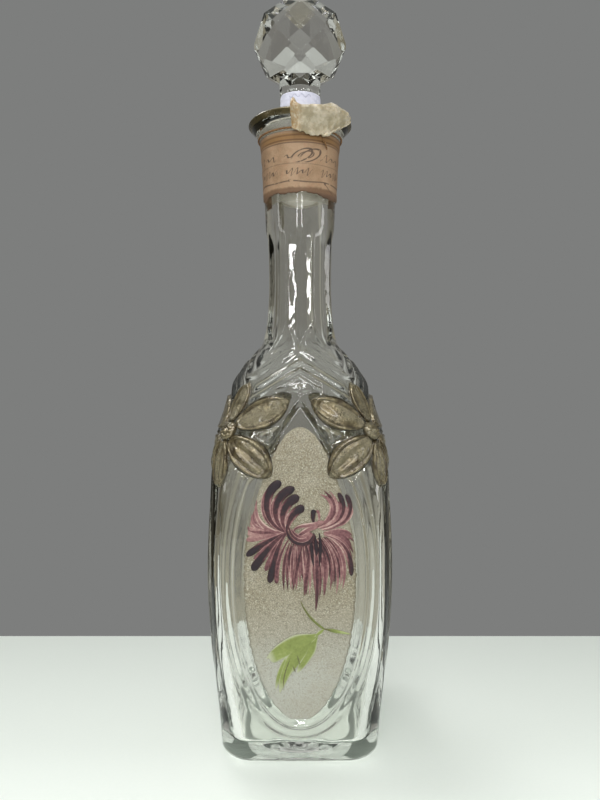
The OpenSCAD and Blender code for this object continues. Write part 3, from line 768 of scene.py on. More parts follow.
# %% Whole flower
def flower(name, corner):
    """A whole flower: its boss, then its petals, mirrored over the ridge."""
    points, quads, triangles, pairs = boss(corner)
    points, quads, pairs = [points], [quads], [pairs]
    for turn, reach, width in PETALS:
        for mirrored in ([turn] if abs(turn) == 90 else [turn, 180 - turn]):
            top, under, st = petal(corner, mirrored, reach, width, turn < 0)
            block, faces = closed_slab(top, under)
            quads.append(faces[:, ::-1] + sum(map(len, points)))
            points.append(block)
            pairs += [st.reshape(-1, 2), st.reshape(-1, 2)]
    return make_piece(name, np.concatenate(points), np.concatenate(quads), triangles,
                      coordinates=np.concatenate(pairs))


# %% Worn gilding, with a painted highlight and painted shade
gilding = Finish("worn_gilding_and_painted_light")
where = gilding.place()
pair = gilding.node("SeparateXYZ", {}, {0: gilding.node("UVMap", {"uv_map": "surface"})})
s, t = pair.part("X"), gilding.node("Math", {"operation": "ABSOLUTE"}, {0: pair.part("Y")})
mottle = gilding.noise(330, 4, 0.6, where=where)
stipple = gilding.noise(2600, 2, 0.6, where=where)
cloudy = gilding.noise(110, 3, 0.6, where=where)
base = gilding.mix(mottle.between(0.36, 0.66), colour(68, 58, 40), colour(112, 101, 74))
base = gilding.mix(t.between(0.62, 0.5) * cloudy.between(0.4, 0.58) * 0.75, base, colour(132, 124, 100))
# Painted highlight: the raised crest of each petal's rim is lighter, broken by the mottle.
rim = t.between(0.66, 0.76) * t.between(0.9, 0.82)
base = gilding.mix(rim * mottle.between(0.35, 0.6) * 0.4, base, colour(130, 121, 97))
# Darker along the petal's outer edge and, two lines down, at its root by the boss.
base = gilding.mix(t.between(0.86, 0.96), base, colour(50, 43, 28))
# Painted shade: a dark band in the groove inside the rim.
base = gilding.mix(t.between(0.5, 0.6) * t.between(0.7, 0.62) * 0.6, base, colour(62, 54, 36))
base = gilding.mix(s.between(0.16, 0.0) * 0.6, base, colour(70, 60, 40))
base = gilding.mix(stipple.between(0.55, 0.64) * t.between(0.75, 0.4) * cloudy.between(0.42, 0.55) * 0.9,
                   base, colour(44, 38, 24))
wear = (cloudy.between(0.5, 0.66) * 0.5 + mottle.between(0.55, 0.7) * 0.3)
normal = gilding.bump(stipple * t.between(0.8, 0.3) * cloudy.between(0.4, 0.6) + mottle * 0.5, 0.0005, 1.0)
gilding.show(gilding.principled(Base_Color=base, Metallic=0.56 - wear * 0.5, Roughness=0.24 + wear * 0.2,
                                Coat_Weight=0.4, Coat_Roughness=0.08, Normal=normal))
for place_name, corner in (("front_right", 45), ("back_right", 135), ("back_left", 225),
                           ("front_left", 315)):
    made = flower("gilded_flower_" + place_name, np.radians(corner))
    place(made, gilding, "tarnished_gilt", "bottle", "gilt_flower_" + place_name)

# %% [markdown]
# ## The enamelled bloom
# The painter loaded a brush with thick enamel and laid one stroke for each petal, so the bloom is a heap of
# raised strokes: a skirt that hangs and spreads, a crest that curls over the heart, and small petals folded
# in the middle. A stroke is a half round of enamel carried along a cubic curve. Its tone, dark plum or pale
# mauve, is kept in each point.

# %% Strokes
def curve(control, s):
    """Points and directions along cubic curves, from four control points each."""
    control, s = control[:, None], s[None, :, None]
    a, b, c, d = (control[..., k, :] for k in range(4))
    point = (1 - s) ** 3 * a + 3 * s * (1 - s) ** 2 * b + 3 * s**2 * (1 - s) * c + s**3 * d
    way = (1 - s) ** 2 * (b - a) + 2 * s * (1 - s) * (c - b) + s**2 * (d - c)
    return point, way / np.maximum(1e-9, np.linalg.norm(way, axis=-1, keepdims=True))


def strokes(name, families):
    """Raised strokes on the sanded field, from families of (curves, width, height, lift, tones, edge, round
    tip)."""
    steps, turn = 26, np.linspace(0, 2 * np.pi, 16, endpoint=False)
    s = (1 - np.cos(np.linspace(0, np.pi, steps))) / 2
    blunt = (0.4 + 0.6 * ease(s / 0.6)) * np.sqrt(np.clip(1 - (np.clip(s - 0.9, 0, 1) / 0.1) ** 2, 0, 1))
    sharp = (0.3 + 0.7 * ease(s / 0.45)) * (1 - s**3) ** 0.8
    root = np.sqrt(np.clip(s / 0.04, 0, 1))
    control = np.concatenate([f[0] for f in families])
    share = [np.concatenate([np.broadcast_to(f[k], len(f[0])) for f in families])[:, None, None]
             for k in (1, 2, 3, 5, 6)]
    width, height, lift, edge, round_tip = share
    tone = np.concatenate([f[4] for f in families])
    count = len(control)
    point, way = curve(control, s)
    swell = np.maximum(0.02, root * np.where(round_tip[..., 0] > 0, blunt, sharp))[..., None]
    across = width / 2 * swell * np.cos(turn)
    x = point[..., :1] + way[..., 1:] * across
    z = point[..., 1:] - way[..., :1] * across
    top = np.maximum(np.sin(turn), -0.2)
    furrow = 0.28 * bell(np.cos(turn) / 0.35) * (np.sin(turn) > 0) * edge
    points = on_field(x, z, SAND_H + 0.04 + lift + height * (0.2 + 0.8 * swell) * (top - furrow))
    quads = grid_quads(steps, 16, True)
    first = (np.arange(count) * steps * 16)[:, None]
    faces = (quads[None, :, ::-1] + first[..., None]).reshape(-1, 4)
    low, high = first + np.arange(16), first + (steps - 1) * 16 + np.arange(16)
    run = s[None, :, None]
    shade = tone[:, :1, None] + (tone[:, 1:, None] - tone[:, :1, None]) * ease(run * 1.3 - 0.15)
    values = {"tone": shade, "across": np.abs(np.cos(turn)), "run": run,
              "edge": edge * (1 - 0.8 * ease((run - 0.6) / 0.25))}
    full = {key: np.broadcast_to(value, (count, steps, 16)) for key, value in values.items()}
    return make_piece(name, points, faces, np.concatenate([low, high[:, ::-1]]), values=full)


# %% Families of petals
chance = np.random.default_rng(17)


def sweep(first, last, count, bulge=0.0):
    """Curves that turn evenly from a first to a last one, each given by four control points."""
    k = np.linspace(0, 1, count)[:, None, None]
    made = np.array(first, float) * (1 - k) + np.array(last, float) * k
    made[:, 1:3] += bulge * np.sin(np.pi * k)
    return made + chance.uniform(-1, 1, made.shape) * np.array([0.15, 0.3, 0.4, 0.5])[None, :, None]


def tones(count, root, tip, spread):
    """A tone at the root and at the tip of each stroke, with some chance in both."""
    plain = np.column_stack([np.full(count, root), np.full(count, tip)])
    return np.clip(plain + chance.uniform(-spread, spread, (count, 2)), 0, 1)


def family(curves, width, height, lift, root, tip, spread, edge, round_tip):
    """A family of strokes: sizes in millimetres, tones from 0 dark to 1 pale, and how much paler its edges
    are."""
    count = len(curves)
    wide = width * chance.uniform(0.85, 1.12, count)
    raised = lift + chance.uniform(0, 0.1, count)
    shades = tones(count, root, tip, spread)
    return curves, wide, height, raised, shades, edge, round_tip


# %% Curves of each family
heart = (-4.6, 88.6)
crest = np.array([[heart, (-13.6, 90.5), (-14.2, 104.0), (-6.6, 106.3)],
                  [heart, (-10.6, 92.0), (-10.4, 102.0), (-1.9, 104.2)],
                  [heart, (-7.6, 92.0), (-6.6, 99.8), (-0.2, 101.0)],
                  [heart, (-4.6, 92.0), (-2.8, 96.4), (1.6, 97.3)]])
crest_under = crest + np.array([[0, 0], [-1.1, -0.6], [-1.5, -0.3], [-1.6, -1.2]])
far_left = sweep([heart, (-11, 87.5), (-17.4, 92), (-15.4, 100.0)],
                 [heart, (-11, 88.2), (-19.4, 88), (-18.2, 91)], 6)
fan_left = sweep([heart, (-10, 88.6), (-14, 89.6), (-18.6, 89.6)],
                 [heart, (-10, 87.6), (-14, 86.2), (-19.2, 85.4)], 5)
clubs = np.array([[heart, (-10, 86.4), (-14, 84.0), (-19.3, 80.0)],
                  [heart, (-9.4, 85.6), (-13, 80.6), (-17.2, 74.8)],
                  [heart, (-8.0, 84.6), (-9.6, 77.0), (-10.9, 70.3)]])
between = np.array([[heart, (-9.8, 86.0), (-13, 82.0), (-16.6, 78.8)],
                    [heart, (-8.8, 84.8), (-11, 79.0), (-12.4, 74.6)],
                    [(-4, 86), (-7.4, 81), (-8.6, 75), (-8.4, 70)]])
skirt = sweep([(-3.6, 85.0), (-5.8, 80), (-6.4, 74), (-5.8, 69)],
              [(10, 87.0), (15.6, 83), (17.2, 76), (15.6, 67.5)], 19,
              np.array([0, 0.6]))
skirt[:, 3, 1] += chance.uniform(-2.2, 2.6, len(skirt)) - 3.2 * bell((skirt[:, 3, 0] - 4.5) / 4)
under = sweep([(-3.0, 84.0), (-4.2, 80), (-4.2, 75), (-3.8, 71.5)],
              [(9, 86.0), (13.4, 82), (14.4, 77), (13.8, 71)], 13)
under[:, 3, 1] += chance.uniform(-2.5, 2.5, len(under))
plume = np.array([[(5.4, 84.5), (6.0, 76), (6.6, 68), (5.6, 59.8)],
                  [(3.4, 84.0), (3.0, 77), (2.0, 71), (1.6, 65.6)],
                  [(7.4, 85), (9.2, 78), (9.2, 70), (8.6, 65.4)],
                  [(0.8, 84.0), (-0.6, 78), (-1.6, 73), (-2.6, 67.4)]])
right_fan = sweep([(8.5, 88.5), (13, 89.6), (16.6, 89.4), (19.2, 87.2)],
                  [(8.5, 87.6), (14, 86.6), (18.6, 81), (18.2, 73.4)], 8)
right_crest = sweep([(5.4, 90.6), (12.6, 92.4), (14.2, 99.5), (7.2, 102.4)],
                    [(8, 89.2), (16, 91), (19.4, 94), (18.6, 97.4)], 9)
right_crest[:5, 3, 1] += np.array([-0.5, 1.8, 1.8, 1.2, 0.6])
right_tips = np.array([[(8, 89.4), (17, 90.2), (20.2, 96.6), (16.4, 102.0)],
                       [(7, 90.0), (15, 91.2), (17.6, 97), (13.6, 102.6)],
                       [(9, 87.4), (15.4, 86.4), (18.9, 81), (18.4, 72.8)]])
swirl = np.array([[(-4.6, 91.6), (-6.0, 84.2), (3.4, 81.6), (4.9, 88.2)]])
heart_curl = np.array([[(-3.9, 90.4), (-2.8, 84.8), (3.0, 84.4), (3.9, 88.6)],
                       [(-3.0, 89.6), (-1.0, 86.0), (2.2, 86.6), (3.2, 89.0)],
                       [(-2.4, 88.6), (-1.6, 91.8), (4.0, 90.2), (8.4, 92.4)],
                       [(-1.6, 87.4), (0.2, 86.6), (1.4, 90.0), (6.4, 90.6)]])
bud = np.array([[(5.0, 91.6), (4.4, 93.2), (4.6, 94.8), (5.0, 96.6)]])
bud_side = np.array([[(6.4, 91.8), (7.2, 93.8), (6.9, 95.2), (6.0, 96.4)]])
slate = np.array([[(4.0, 88.0), (3.6, 84), (4.6, 80), (4.8, 75.4)],
                  [(6.8, 88.4), (7.6, 84), (7.2, 80), (6.8, 76.2)],
                  [(5.4, 87.6), (5.6, 84), (6.0, 82), (5.8, 79.4)]])
bloom = strokes("enamelled_bloom", [
    family(fan_left, 1.7, 0.3, 0.0, 0.62, 0.72, 0.12, 0.3, 1),
                                    family(far_left, 2.1, 0.32, 0.02, 0.5, 0.6, 0.12, 0.4, 0),
    family(skirt, 1.7, 0.34, 0.0, 0.34, 0.55, 0.32, 0.3, 0),
                                    family(right_fan, 2.1, 0.34, 0.04, 0.64, 0.4, 0.16, 0.25, 0),
    family(under, 1.4, 0.4, 0.12, 0.24, 0.42, 0.34, 0.4, 0),
                                    family(plume, 2.0, 0.42, 0.16, 0.3, 0.36, 0.1, 0.3, 0),
    family(between, 1.6, 0.36, 0.08, 0.4, 0.5, 0.1, 0.4, 1),
                                    family(clubs, 2.7, 0.5, 0.14, 0.3, 0.03, 0.03, 0.4, 1),
    family(crest_under, 2.6, 0.36, 0.06, 0.4, 0.55, 0.1, 0.4, 0),
                                    family(crest, 3.0, 0.55, 0.16, 0.34, 0.02, 0.03, 0.45, 1),
    family(right_crest, 2.2, 0.42, 0.12, 0.7, 0.52, 0.26, 0.3, 0),
                                    family(right_tips, 2.0, 0.45, 0.16, 0.5, 0.1, 0.05, 0.4, 1),
    family(bud, 2.0, 0.42, 0.1, 0.1, 0.02, 0.02, 0.2, 1),
                                    family(bud_side, 1.2, 0.4, 0.08, 0.6, 0.5, 0.05, 0.3, 1),
    family(swirl, 1.9, 0.5, 0.26, 0.08, 0.2, 0.03, 0.35, 1),
    family(slate, 1.5, 0.4, 0.3, 0.0, 0.05, 0.0, 0.1, 0),
                                    family(heart_curl, 1.7, 0.55, 0.3, 0.32, 0.7, 0.12, 0.4, 1)])


# %% Plum enamel
def enamel(name, stops, soft=False):
    """Glossy enamel coloured along a ramp by each point's tone, paler where the brush left an edge. Soft
    enamel thins out."""
    made = Finish(name)
    where = made.place()
    tone, across, edge, run = (made.node("Attribute", {"attribute_name": key}).part("Fac")
                               for key in ("tone", "across", "edge", "run"))
    streak = made.noise(1100, 3, 0.6, where=where)
    cloud = made.noise(240, 2, 0.5, where=where)
    shade = tone + edge * across.between(0.4, 0.85) * 1.25 + (streak - 0.5) * 0.6 + (cloud - 0.5) * 0.35
    tint = made.node("ValToRGB", {"stops": stops}, {0: shade})
    if soft:
        thin = made.node("Math", {"operation": "MAXIMUM"},
                         {0: across.between(0.6, 0.98), 1: run.between(0.8, 0.99)})
        tint = made.mix(thin * (cloud * 0.6 + 0.62), tint, colour(170, 172, 146))
    return made.show(made.principled(Base_Color=tint, Roughness=0.55, Specular_IOR_Level=0.3,
                                     Normal=made.bump(streak, 0.00012, 1.0)))


plum = enamel("plum_enamel", [(0.0, colour(38, 30, 36)), (0.14, colour(50, 34, 38)),
                              (0.34, colour(78, 46, 50)),
                              (0.56, colour(118, 80, 82)), (0.8, colour(152, 117, 112)),
                              (1.0, colour(184, 160, 150))])
place(bloom, plum, "plum_enamel", "bottle", "enamel_bloom")

# %% [markdown]
# ## Stem and leaf
# The same brush strokes, in green: a thin stem that forks into a twig and a lobed leaf, whose lobes are
# broad strokes with a sunk vein.

# %% Green strokes
stem_lines = np.array([[(0.2, 63.6), (1.8, 59.6), (4.4, 56.0), (8.8, 53.2)],
                       [(8.4, 53.4), (11.6, 52.6), (14.8, 52.0), (18.7, 51.2)]])
fork = np.array([[(8.8, 53.3), (7.6, 52.4), (6.6, 51.5), (5.2, 50.4)]])
leaf_lines = np.array([[(6.4, 51.0), (0.5, 49.4), (-6.8, 47.0), (-12.2, 42.0)],
                       [(5, 50.0), (-2, 46.6), (-6.4, 44.0), (-11.2, 42.0)],
                       [(5.8, 50.6), (-1, 46.0), (-5.4, 39.5), (-7.4, 28.8)],
                       [(2, 49.0), (-4, 43), (-7.6, 38), (-8.9, 30.0)],
                       [(6.2, 51.0), (4.2, 46.4), (1.8, 41.8), (-1.0, 36.6)],
                       [(5, 50.2), (1.0, 45.5), (-1.4, 41.5), (-3.6, 36.2)]])
veins = np.array([[(-3.4, 42.6), (-4.8, 38.6), (-6.8, 34.5), (-5.6, 29.6)],
                  [(-1.2, 43.6), (-0.6, 42.2), (-0.3, 41), (0.1, 39.4)],
                  [(-2.6, 39.4), (-2.2, 38.4), (-1.9, 37.6), (-1.5, 36.8)]])
stem = strokes("enamelled_stem", [family(stem_lines[:1], 0.8, 0.3, 0.0, 0.0, 0.2, 0.02, 0.3, 1),
                                  family(stem_lines[1:], 1.4, 0.26, 0.0, 0.1, 0.8, 0.05, 0.2, 0)])
leaf = strokes("enamelled_leaf", [family(fork, 1.6, 0.3, 0.0, 0.5, 0.6, 0.02, 0.1, 0),
                                  family(leaf_lines, np.array([6.0, 4.6, 6.0, 3.4, 5.2, 5.0]), 0.16, 0.02,
                                         0.42, 0.56, 0.08, 0.1,
                                         np.array([0, 1, 0, 0, 0, 0])),
                                  family(veins, 0.5, 0.3, 0.16, 0.1, 0.05, 0.02, 0.0, 0)])
GREENS = [(0.0, colour(88, 80, 54)), (0.3, colour(110, 120, 64)), (0.6, colour(130, 141, 78)),
          (1.0, colour(158, 166, 118))]
place(stem, enamel("green_enamel", GREENS), "green_enamel", "bottle", "enamel_stem")
place(leaf, enamel("thin_green_enamel", GREENS, soft=True), "green_enamel", "bottle", "enamel_leaf")

# %% [markdown]
# ## The cut ball stopper
# A cutter grinds flat facets on a ball. Each facet is a plane, and a corner of the stone is where three
# planes meet and no other plane cuts it off. Solving for all the triples of planes at once gives the true
# solid with sharp arrises.

# %% Facets of the ball
BALL_D, BALL_Z = 34.0, 273.5
SHANK_D, SHANK_TAPER, SHANK_Z, SEAT_Z = 15.8, 1.4, 212.0, 236.0
COLLAR_Z, COLLAR_W = LIP_Z + LIP_T / 2 + 11, 17.2
FACETS = [(90, 1, 0, 0.93), (57, 6, 0, 0.93), (0, 6, 0, 0.92), (-57, 6, 0, 0.93), (29, 6, 30, 0.955),
          (-29, 6, 30, 0.955), (-90, 1, 0, 0.84)]


def facet_planes(rings, radius):
    """Outward directions and distances of the planes, from rings of (elevation, number, turn, share of the
    radius)."""
    found = [(up, turn + 360 * i / number, share) for up, number, turn,
             share in rings for i in range(number)]
    up, turn, share = np.array(found, float).T
    up, turn = np.radians(up), np.radians(turn)
    return np.stack([np.cos(up) * np.sin(turn), -np.cos(up) * np.cos(turn), np.sin(up)], -1), share * radius


def stone(normals, distances):
    """Corners of the solid that the planes bound, and each plane's own corners in order round it."""
    count = len(normals)
    triples = [(i, j, k) for i in range(count) for j in range(i) for k in range(j)]
    i, j, k = np.array(triples).T
    system = np.stack([normals[i], normals[j], normals[k]], 1)
    sound = np.abs(np.linalg.det(system)) > 1e-6
    sides = np.stack([distances[i], distances[j], distances[k]], 1)[sound]
    corners = np.linalg.solve(system[sound], sides[..., None])[..., 0]
    corners = corners[(corners @ normals.T <= distances + 1e-6).all(1)]
    corners = np.unique(np.round(corners, 5), axis=0)
    faces = []
    for normal, distance in zip(normals, distances):
        on = np.flatnonzero(np.abs(corners @ normal - distance) < 1e-3)
        flat = corners[on] - corners[on].mean(0)
        side = np.cross(normal, flat[0])
        faces.append(on[np.argsort(np.arctan2(flat @ side, flat @ flat[0]))].tolist())
    return corners, [f for f in faces if len(f) > 2]


normals, distances = facet_planes(FACETS, BALL_D / 2)
corners, facets = stone(normals, distances)
ball_mesh = bpy.data.meshes.new("cut_ball")
ball_mesh.from_pydata(((corners + [0, 0, BALL_Z]) * MM).tolist(), [], facets)
ball = bpy.data.objects.new("cut_ball_stopper", ball_mesh)
bpy.context.scene.collection.objects.link(ball)
print("ball:", len(corners), "corners,", len(facets), "facets")

# %% Collar and shank
turns = 96
angle = np.linspace(0, 2 * np.pi, turns, endpoint=False)
octagon = COLLAR_W / 2 * np.cos(np.pi / 8) / np.cos((angle + np.pi / 8) % (np.pi / 4) - np.pi / 8)
low, high = SHANK_D / 2 - SHANK_TAPER / 2, SHANK_D / 2
shank = [(low - 1.2, SHANK_Z, 0), (low - 0.4, SHANK_Z + 0.25, 0), (low, SHANK_Z + 1.2, 0),
         (high, SEAT_Z, 0),
         (high, COLLAR_Z - 0.6, 0), (high + 0.1, COLLAR_Z, 0.9), (high, COLLAR_Z + 0.4, 1),
         (high, BALL_Z - 12.5, 1)]
shank_rows = np.stack([polar(angle, r0 * (1 - k) + octagon * k, z0) for r0, z0, k in shank])
m = len(shank_rows)
points = np.concatenate([shank_rows.reshape(-1, 3), [[0, 0, SHANK_Z], [0, 0, BALL_Z - 12.5]]])
caps = np.concatenate([fan(m * turns, np.arange(turns), True),
                       fan(m * turns + 1, (m - 1) * turns + np.arange(turns))])
shank_piece = make_piece("shank", points, grid_quads(m, turns, True), caps)
union = ball.modifiers.new("join", "BOOLEAN")
union.operation, union.solver, union.object = "UNION", "EXACT", shank_piece
joined = bpy.data.meshes.new_from_object(ball.evaluated_get(bpy.context.evaluated_depsgraph_get()))
ball.modifiers.clear()
ball.data = joined
bpy.data.objects.remove(shank_piece)
joined.set_sharp_from_angle(angle=np.radians(18))
arris = ball.modifiers.new("arrises", "BEVEL")
arris.width, arris.segments, arris.limit_method, arris.angle_limit = 0.00022, 2, "ANGLE", np.radians(18)
arris.harden_normals = True
cut_glass = old_glass("cut_glass", (0.86, 0.855, 0.845, 1), 0.211, 0.2364, 0.02, 0.0002)
place(ball, cut_glass, "stopper_glass", "stopper", "stopper_glass")

# %% [markdown]
# ## The neck label
# A strip of thin paper was glued round the neck: its ends overlap at the back. It has browned, its lower
# edge is torn and stained, and the glue has darkened both borders. The real one carries writing; here there
# are only pen flourishes without words. The paper's own coordinates, millimetres round it and up it, place
# every line.

# %% Paper strip
LAY_GAP, PAPER_T, LABEL_LOW = 0.1, 0.25, LABEL_Z
turn = np.linspace(-np.pi, np.pi, 181)[:, None]
torn = (0.28 * np.sin(7 * turn + 1) + 0.2 * np.sin(17 * turn) + 0.12 * np.sin(41 * turn + 2)
        - 2.4 * bell((turn - 0.95) / 0.28) - 1.6 * bell((turn + 1.15) / 0.2))
share = np.linspace(0, 1, 34)[None]
z = LABEL_LOW + torn * (1 - share) ** 2 + (LABEL_TOP - LABEL_LOW) * share
loose = 0.05 * np.sin(9 * turn + z) + 0.04 * np.sin(z * 1.3 - 4 * turn) + 0.05
loose = loose + 1.1 * bell((turn - 1.0) / 0.25) * ease((215.4 - z) / 4)
skin = half_width(z) + LAY_GAP + loose * ease((LABEL_TOP - z) / 2)
lap = PAPER_T * 1.3 * ease((turn - np.pi + 0.5) / 0.2)
points, faces = closed_slab(polar(turn, skin + PAPER_T + lap, z)[::-1], polar(turn, skin + lap, z)[::-1])
round_mm = np.broadcast_to(turn[::-1] * 14.5, z.shape)
paper_uv = np.stack([round_mm, z[::-1]], -1).reshape(-1, 2)
label = make_piece("neck_label", points, faces, coordinates=np.tile(paper_uv, (2, 1)))

# %% Aged paper and its lines
paper = Finish("aged_paper_and_painted_shade")
where = paper.place()
pair = paper.node("SeparateXYZ", {}, {0: paper.node("UVMap", {"uv_map": "surface"})})
u, v = pair.part("X"), pair.part("Y")


def wave(x, shift=0.0):
    """Sine of a wire, which is scaled before it comes here."""
    return paper.node("Math", {"operation": "SINE"}, {0: x + shift})


def size(x):
    """Size of a wire without its sign."""
    return paper.node("Math", {"operation": "ABSOLUTE"}, {0: x})


def rule(f, width):
    """A soft line of a width where f is nought."""
    return size(f).between(width * 0.75, width * 0.35)


def flourish(low, high, pitch, slant, gaps):
    """A slanted running loop between two heights; it is thick going down and thin going up, and breaks at
    the gaps."""
    middle, reach = (low + high) / 2, (high - low) / 2
    lean = u - (v - middle) * slant
    tall = wave(lean * (2.1 / pitch), gaps) * 0.35 + 0.62
    turn = 2 * np.pi / pitch
    f = v - middle - wave(lean * turn) * tall * reach
    slope = wave(lean * turn, np.pi / 2) * reach * turn * 0.62
    steep = paper.node("Math", {"operation": "SQRT"}, {0: slope * slope + 1})
    near = paper.node("Math", {"operation": "DIVIDE"},
                      {0: size(f), 1: steep * ((slope > 0) * -0.12 + 0.26)})
    return near.between(1.0, 0.5) * wave(u * 0.46, gaps * 2).between(-0.75, -0.6)


def swash(at, height, wide, tall, slant):
    """An open slanted loop of the pen."""
    x, y = (u - at - (v - height) * slant) * (1 / wide), (v - height) * (1 / tall)
    q = paper.node("Math", {"operation": "SQRT"}, {0: x * x + y * y})
    return rule(q - 1, 0.2) * (x * 0.6 + y).between(-1.1, -0.7)


# %% Colours and pen lines
stain = paper.noise(160, 4, 0.6, where=where)
mottle = paper.noise(480, 3, 0.6, where=where)
fibre = paper.noise(2400, 2, 0.6, where=where)
base = paper.mix(stain.between(0.35, 0.65), colour(132, 104, 77), colour(153, 125, 98))
base = paper.mix(mottle.between(0.5, 0.68) * 0.5, base, colour(150, 112, 84))
base = paper.mix(fibre.between(0.3, 0.7) * 0.22, base, colour(168, 144, 116))
uneven = (stain - 0.5) * 1.6 + (mottle - 0.5) * 1.2
top_band = rule(v - 233.1 + uneven * 0.25, 2.6)
low_band = (v + uneven).between(215.7, 214.6) * 0.8
base = paper.mix(low_band, base, colour(90, 62, 40))
base = paper.mix(v.between(213.9, 212.4) * 0.7, base, colour(66, 46, 32))
base = paper.mix(top_band * 0.85, base, colour(128, 92, 48))
base = paper.mix(rule(v - 233.9, 0.5) * 0.6 + rule(v - 232.2, 0.55) * 0.7, base, colour(84, 56, 30))
base = paper.mix(rule(v - 231.3, 0.45) * 0.75, base, colour(84, 60, 42))
# Painted shade: the strip darkens towards its sides and round the back, where it turns away from the light.
base = paper.mix(size(u).between(11, 20) * 0.55, base, colour(112, 82, 56))
knots = rule(v - 217.2 + wave(u * 0.45) * 0.2, 0.42)
knots = knots + size(u + 3.9).between(0.7, 0.2) * size(v - 217.5).between(0.6, 0.2)
knots = knots + size(u - 10.2).between(0.8, 0.2) * size(v - 217.0).between(0.7, 0.2)
knots = knots + rule(v - 217.0 + (u - 10) * 0.75, 0.4) * (u > 10.2) * (u < 14.5)
lines = knots * 0.9 + rule(v - 223.7 + wave(u * 0.2) * 0.15, 0.3) * 0.4
ink = (flourish(224.8, 227.6, 3.0, 0.5, 1.0) * (size(u - 2.2) > 4.6) + swash(0.6, 226.6, 3.2, 2.5, 0.9)
       + swash(2.2, 226.6, 2.6, 1.5, 0.9) + swash(3.8, 226.6, 3.2, 2.5, 0.9)
       + flourish(219.2, 222.2, 2.0, 0.5, 4.0))
ink = paper.node("Math", {"operation": "MINIMUM"}, {0: ink + lines, 1: 1.0}) * mottle.between(0.3, 0.44)
base = paper.mix(ink * 0.85, base, colour(58, 42, 34))
paper.show(paper.principled(Base_Color=base, Roughness=0.78 - mottle * 0.2,
                            Normal=paper.bump(mottle * 0.6 + fibre * 0.25, 0.0003, 1.0)))
place(label, paper, "label_paper", "bottle", "neck_label")

# %% [markdown]
# ## Thread
# A two-ply linen thread once tied the wrapping down. It was wound on a wheel and then round the throat by
# hand; one end still hangs over the label. Its plies are lobes of the section that turn as they go along.

# %% Twisted thread
THREAD_D, THREAD_Z = 0.8, LABEL_TOP + LAY_GAP + 0.8


def cord(name, path, diameter, closed):
    """A two-ply cord along a path of points: a section of two lobes that turns a full turn each 1.6 mm."""
    path = np.asarray(path, float)
    ahead = np.roll(path, -1, 0) - np.roll(path, 1, 0) if closed else np.gradient(path, axis=0)
    along = ahead / np.linalg.norm(ahead, axis=1, keepdims=True)
    side = np.cross(along, [0, 0, 1.0])
    side = side / np.maximum(1e-6, np.linalg.norm(side, axis=1, keepdims=True))
    up = np.cross(side, along)
    length = np.concatenate([[0], np.cumsum(np.linalg.norm(np.diff(path, axis=0), axis=1))])
    section = np.linspace(0, 2 * np.pi, 12, endpoint=False)[None]
    twist = length[:, None] / 1.6 * 2 * np.pi
    radius = diameter / 2 * (0.72 + 0.28 * np.abs(np.cos(section - twist / 2)))
    rim = np.cos(section)[..., None] * side[:, None] + np.sin(section)[..., None] * up[:, None]
    points = path[:, None] + radius[..., None] * rim
    m = len(path)
    if closed:
        numbers = np.arange(m * 12).reshape(m, 12)
        below = np.roll(numbers, -1, 0)
        quads = np.stack([numbers, below, np.roll(below, -1, 1), np.roll(numbers, -1, 1)], -1)
        quads = quads.reshape(-1, 4)
        return make_piece(name, points, quads)
    caps = np.stack([np.arange(12), (m - 1) * 12 + np.arange(12)[::-1]])
    return make_piece(name, points, grid_quads(m, 12, True)[:, ::-1], caps)


turn = np.linspace(0, 2 * np.pi, 480, endpoint=False)
ring = polar(turn, half_width(THREAD_Z) + LAY_GAP + THREAD_D / 2 + 0.1, THREAD_Z)
thread = cord("binding_thread", ring, THREAD_D, True)
k = np.linspace(0, 1, 90)
turn = np.radians(np.interp(k, [0, 0.3, 0.55, 0.75, 1], [2, 22, 31, 33, 40]))
z = np.interp(k, [0, 0.3, 0.55, 0.7, 0.8, 1], [237.4, 235.9, 233.6, 231.8, 232.4, 229.6])
tail = cord("thread_tail", polar(turn, half_width(z) + 1.0 + 0.5 * bell((k - 0.62) / 0.12), z), 0.55, False)
linen = Finish("brown_linen_thread")
where = linen.place()
fuzz = linen.noise(2600, 3, 0.65, where=where)
tone = linen.mix(fuzz.between(0.35, 0.65), colour(74, 48, 26), colour(138, 98, 56))
tone = linen.mix(linen.noise(300, 2, where=where).between(0.5, 0.65) * 0.5, tone, colour(160, 124, 76))
linen.show(linen.principled(Base_Color=tone, Roughness=0.85, Normal=linen.bump(fuzz, 0.00025, 1.0)))
place(thread, linen, "twine", "bottle", "binding_thread")
place(tail, linen, "twine", "bottle")

# %% [markdown]
# ## Remnant of the seal
# The stopper was sealed with a skin of wax or gut, dried and torn off on one side. It lies over the lip
# like crumpled parchment. It is a sheet whose section follows the lip and whose creases are ridged waves
# that cross each other.

# %% Crumpled sheet
SEAL_T = 0.6
lip_r = LIP_D / 2
stops = np.array([[lip_r - 4.6, LIP_Z + LIP_T / 2 + 0.15], [lip_r - 1.2, LIP_Z + LIP_T / 2 + 0.15],
                  [lip_r + 0.1, LIP_Z + 0.95], [lip_r + 0.25, LIP_Z], [half_width(239.8) + 1.3, 240.0],
                  [half_width(237.6) + 1.4, 237.7], [half_width(236.4) + 1.35, 236.2],
                  [half_width(234) + 0.9, 233.4]])
run = np.concatenate([[0], np.cumsum(np.hypot(*np.diff(stops, axis=0).T))])
k = np.linspace(0, 1, 90)[:, None]
turn = np.radians(-10 + 76 * k)
reach = np.interp(k, [0, 0.1, 0.25, 0.55, 0.75, 1], [0.84, 0.9, 0.98, 1.0, 0.84, 0.5])
reach = reach + 0.025 * np.sin(23 * k) + 0.015 * np.sin(61 * k)
t = np.linspace(0, 1, 60)[None]
p = (0.04 + 0.05 * np.sin(9 * k) ** 2) * (1 - t) + reach * t
radius, z = np.interp(p * run[-1], run, stops[:, 0]), np.interp(p * run[-1], run, stops[:, 1])
def fold(x):
    """A ridged wave: sharp folds one high, each half a turn apart."""
    return 1 - np.abs(np.sin(x))


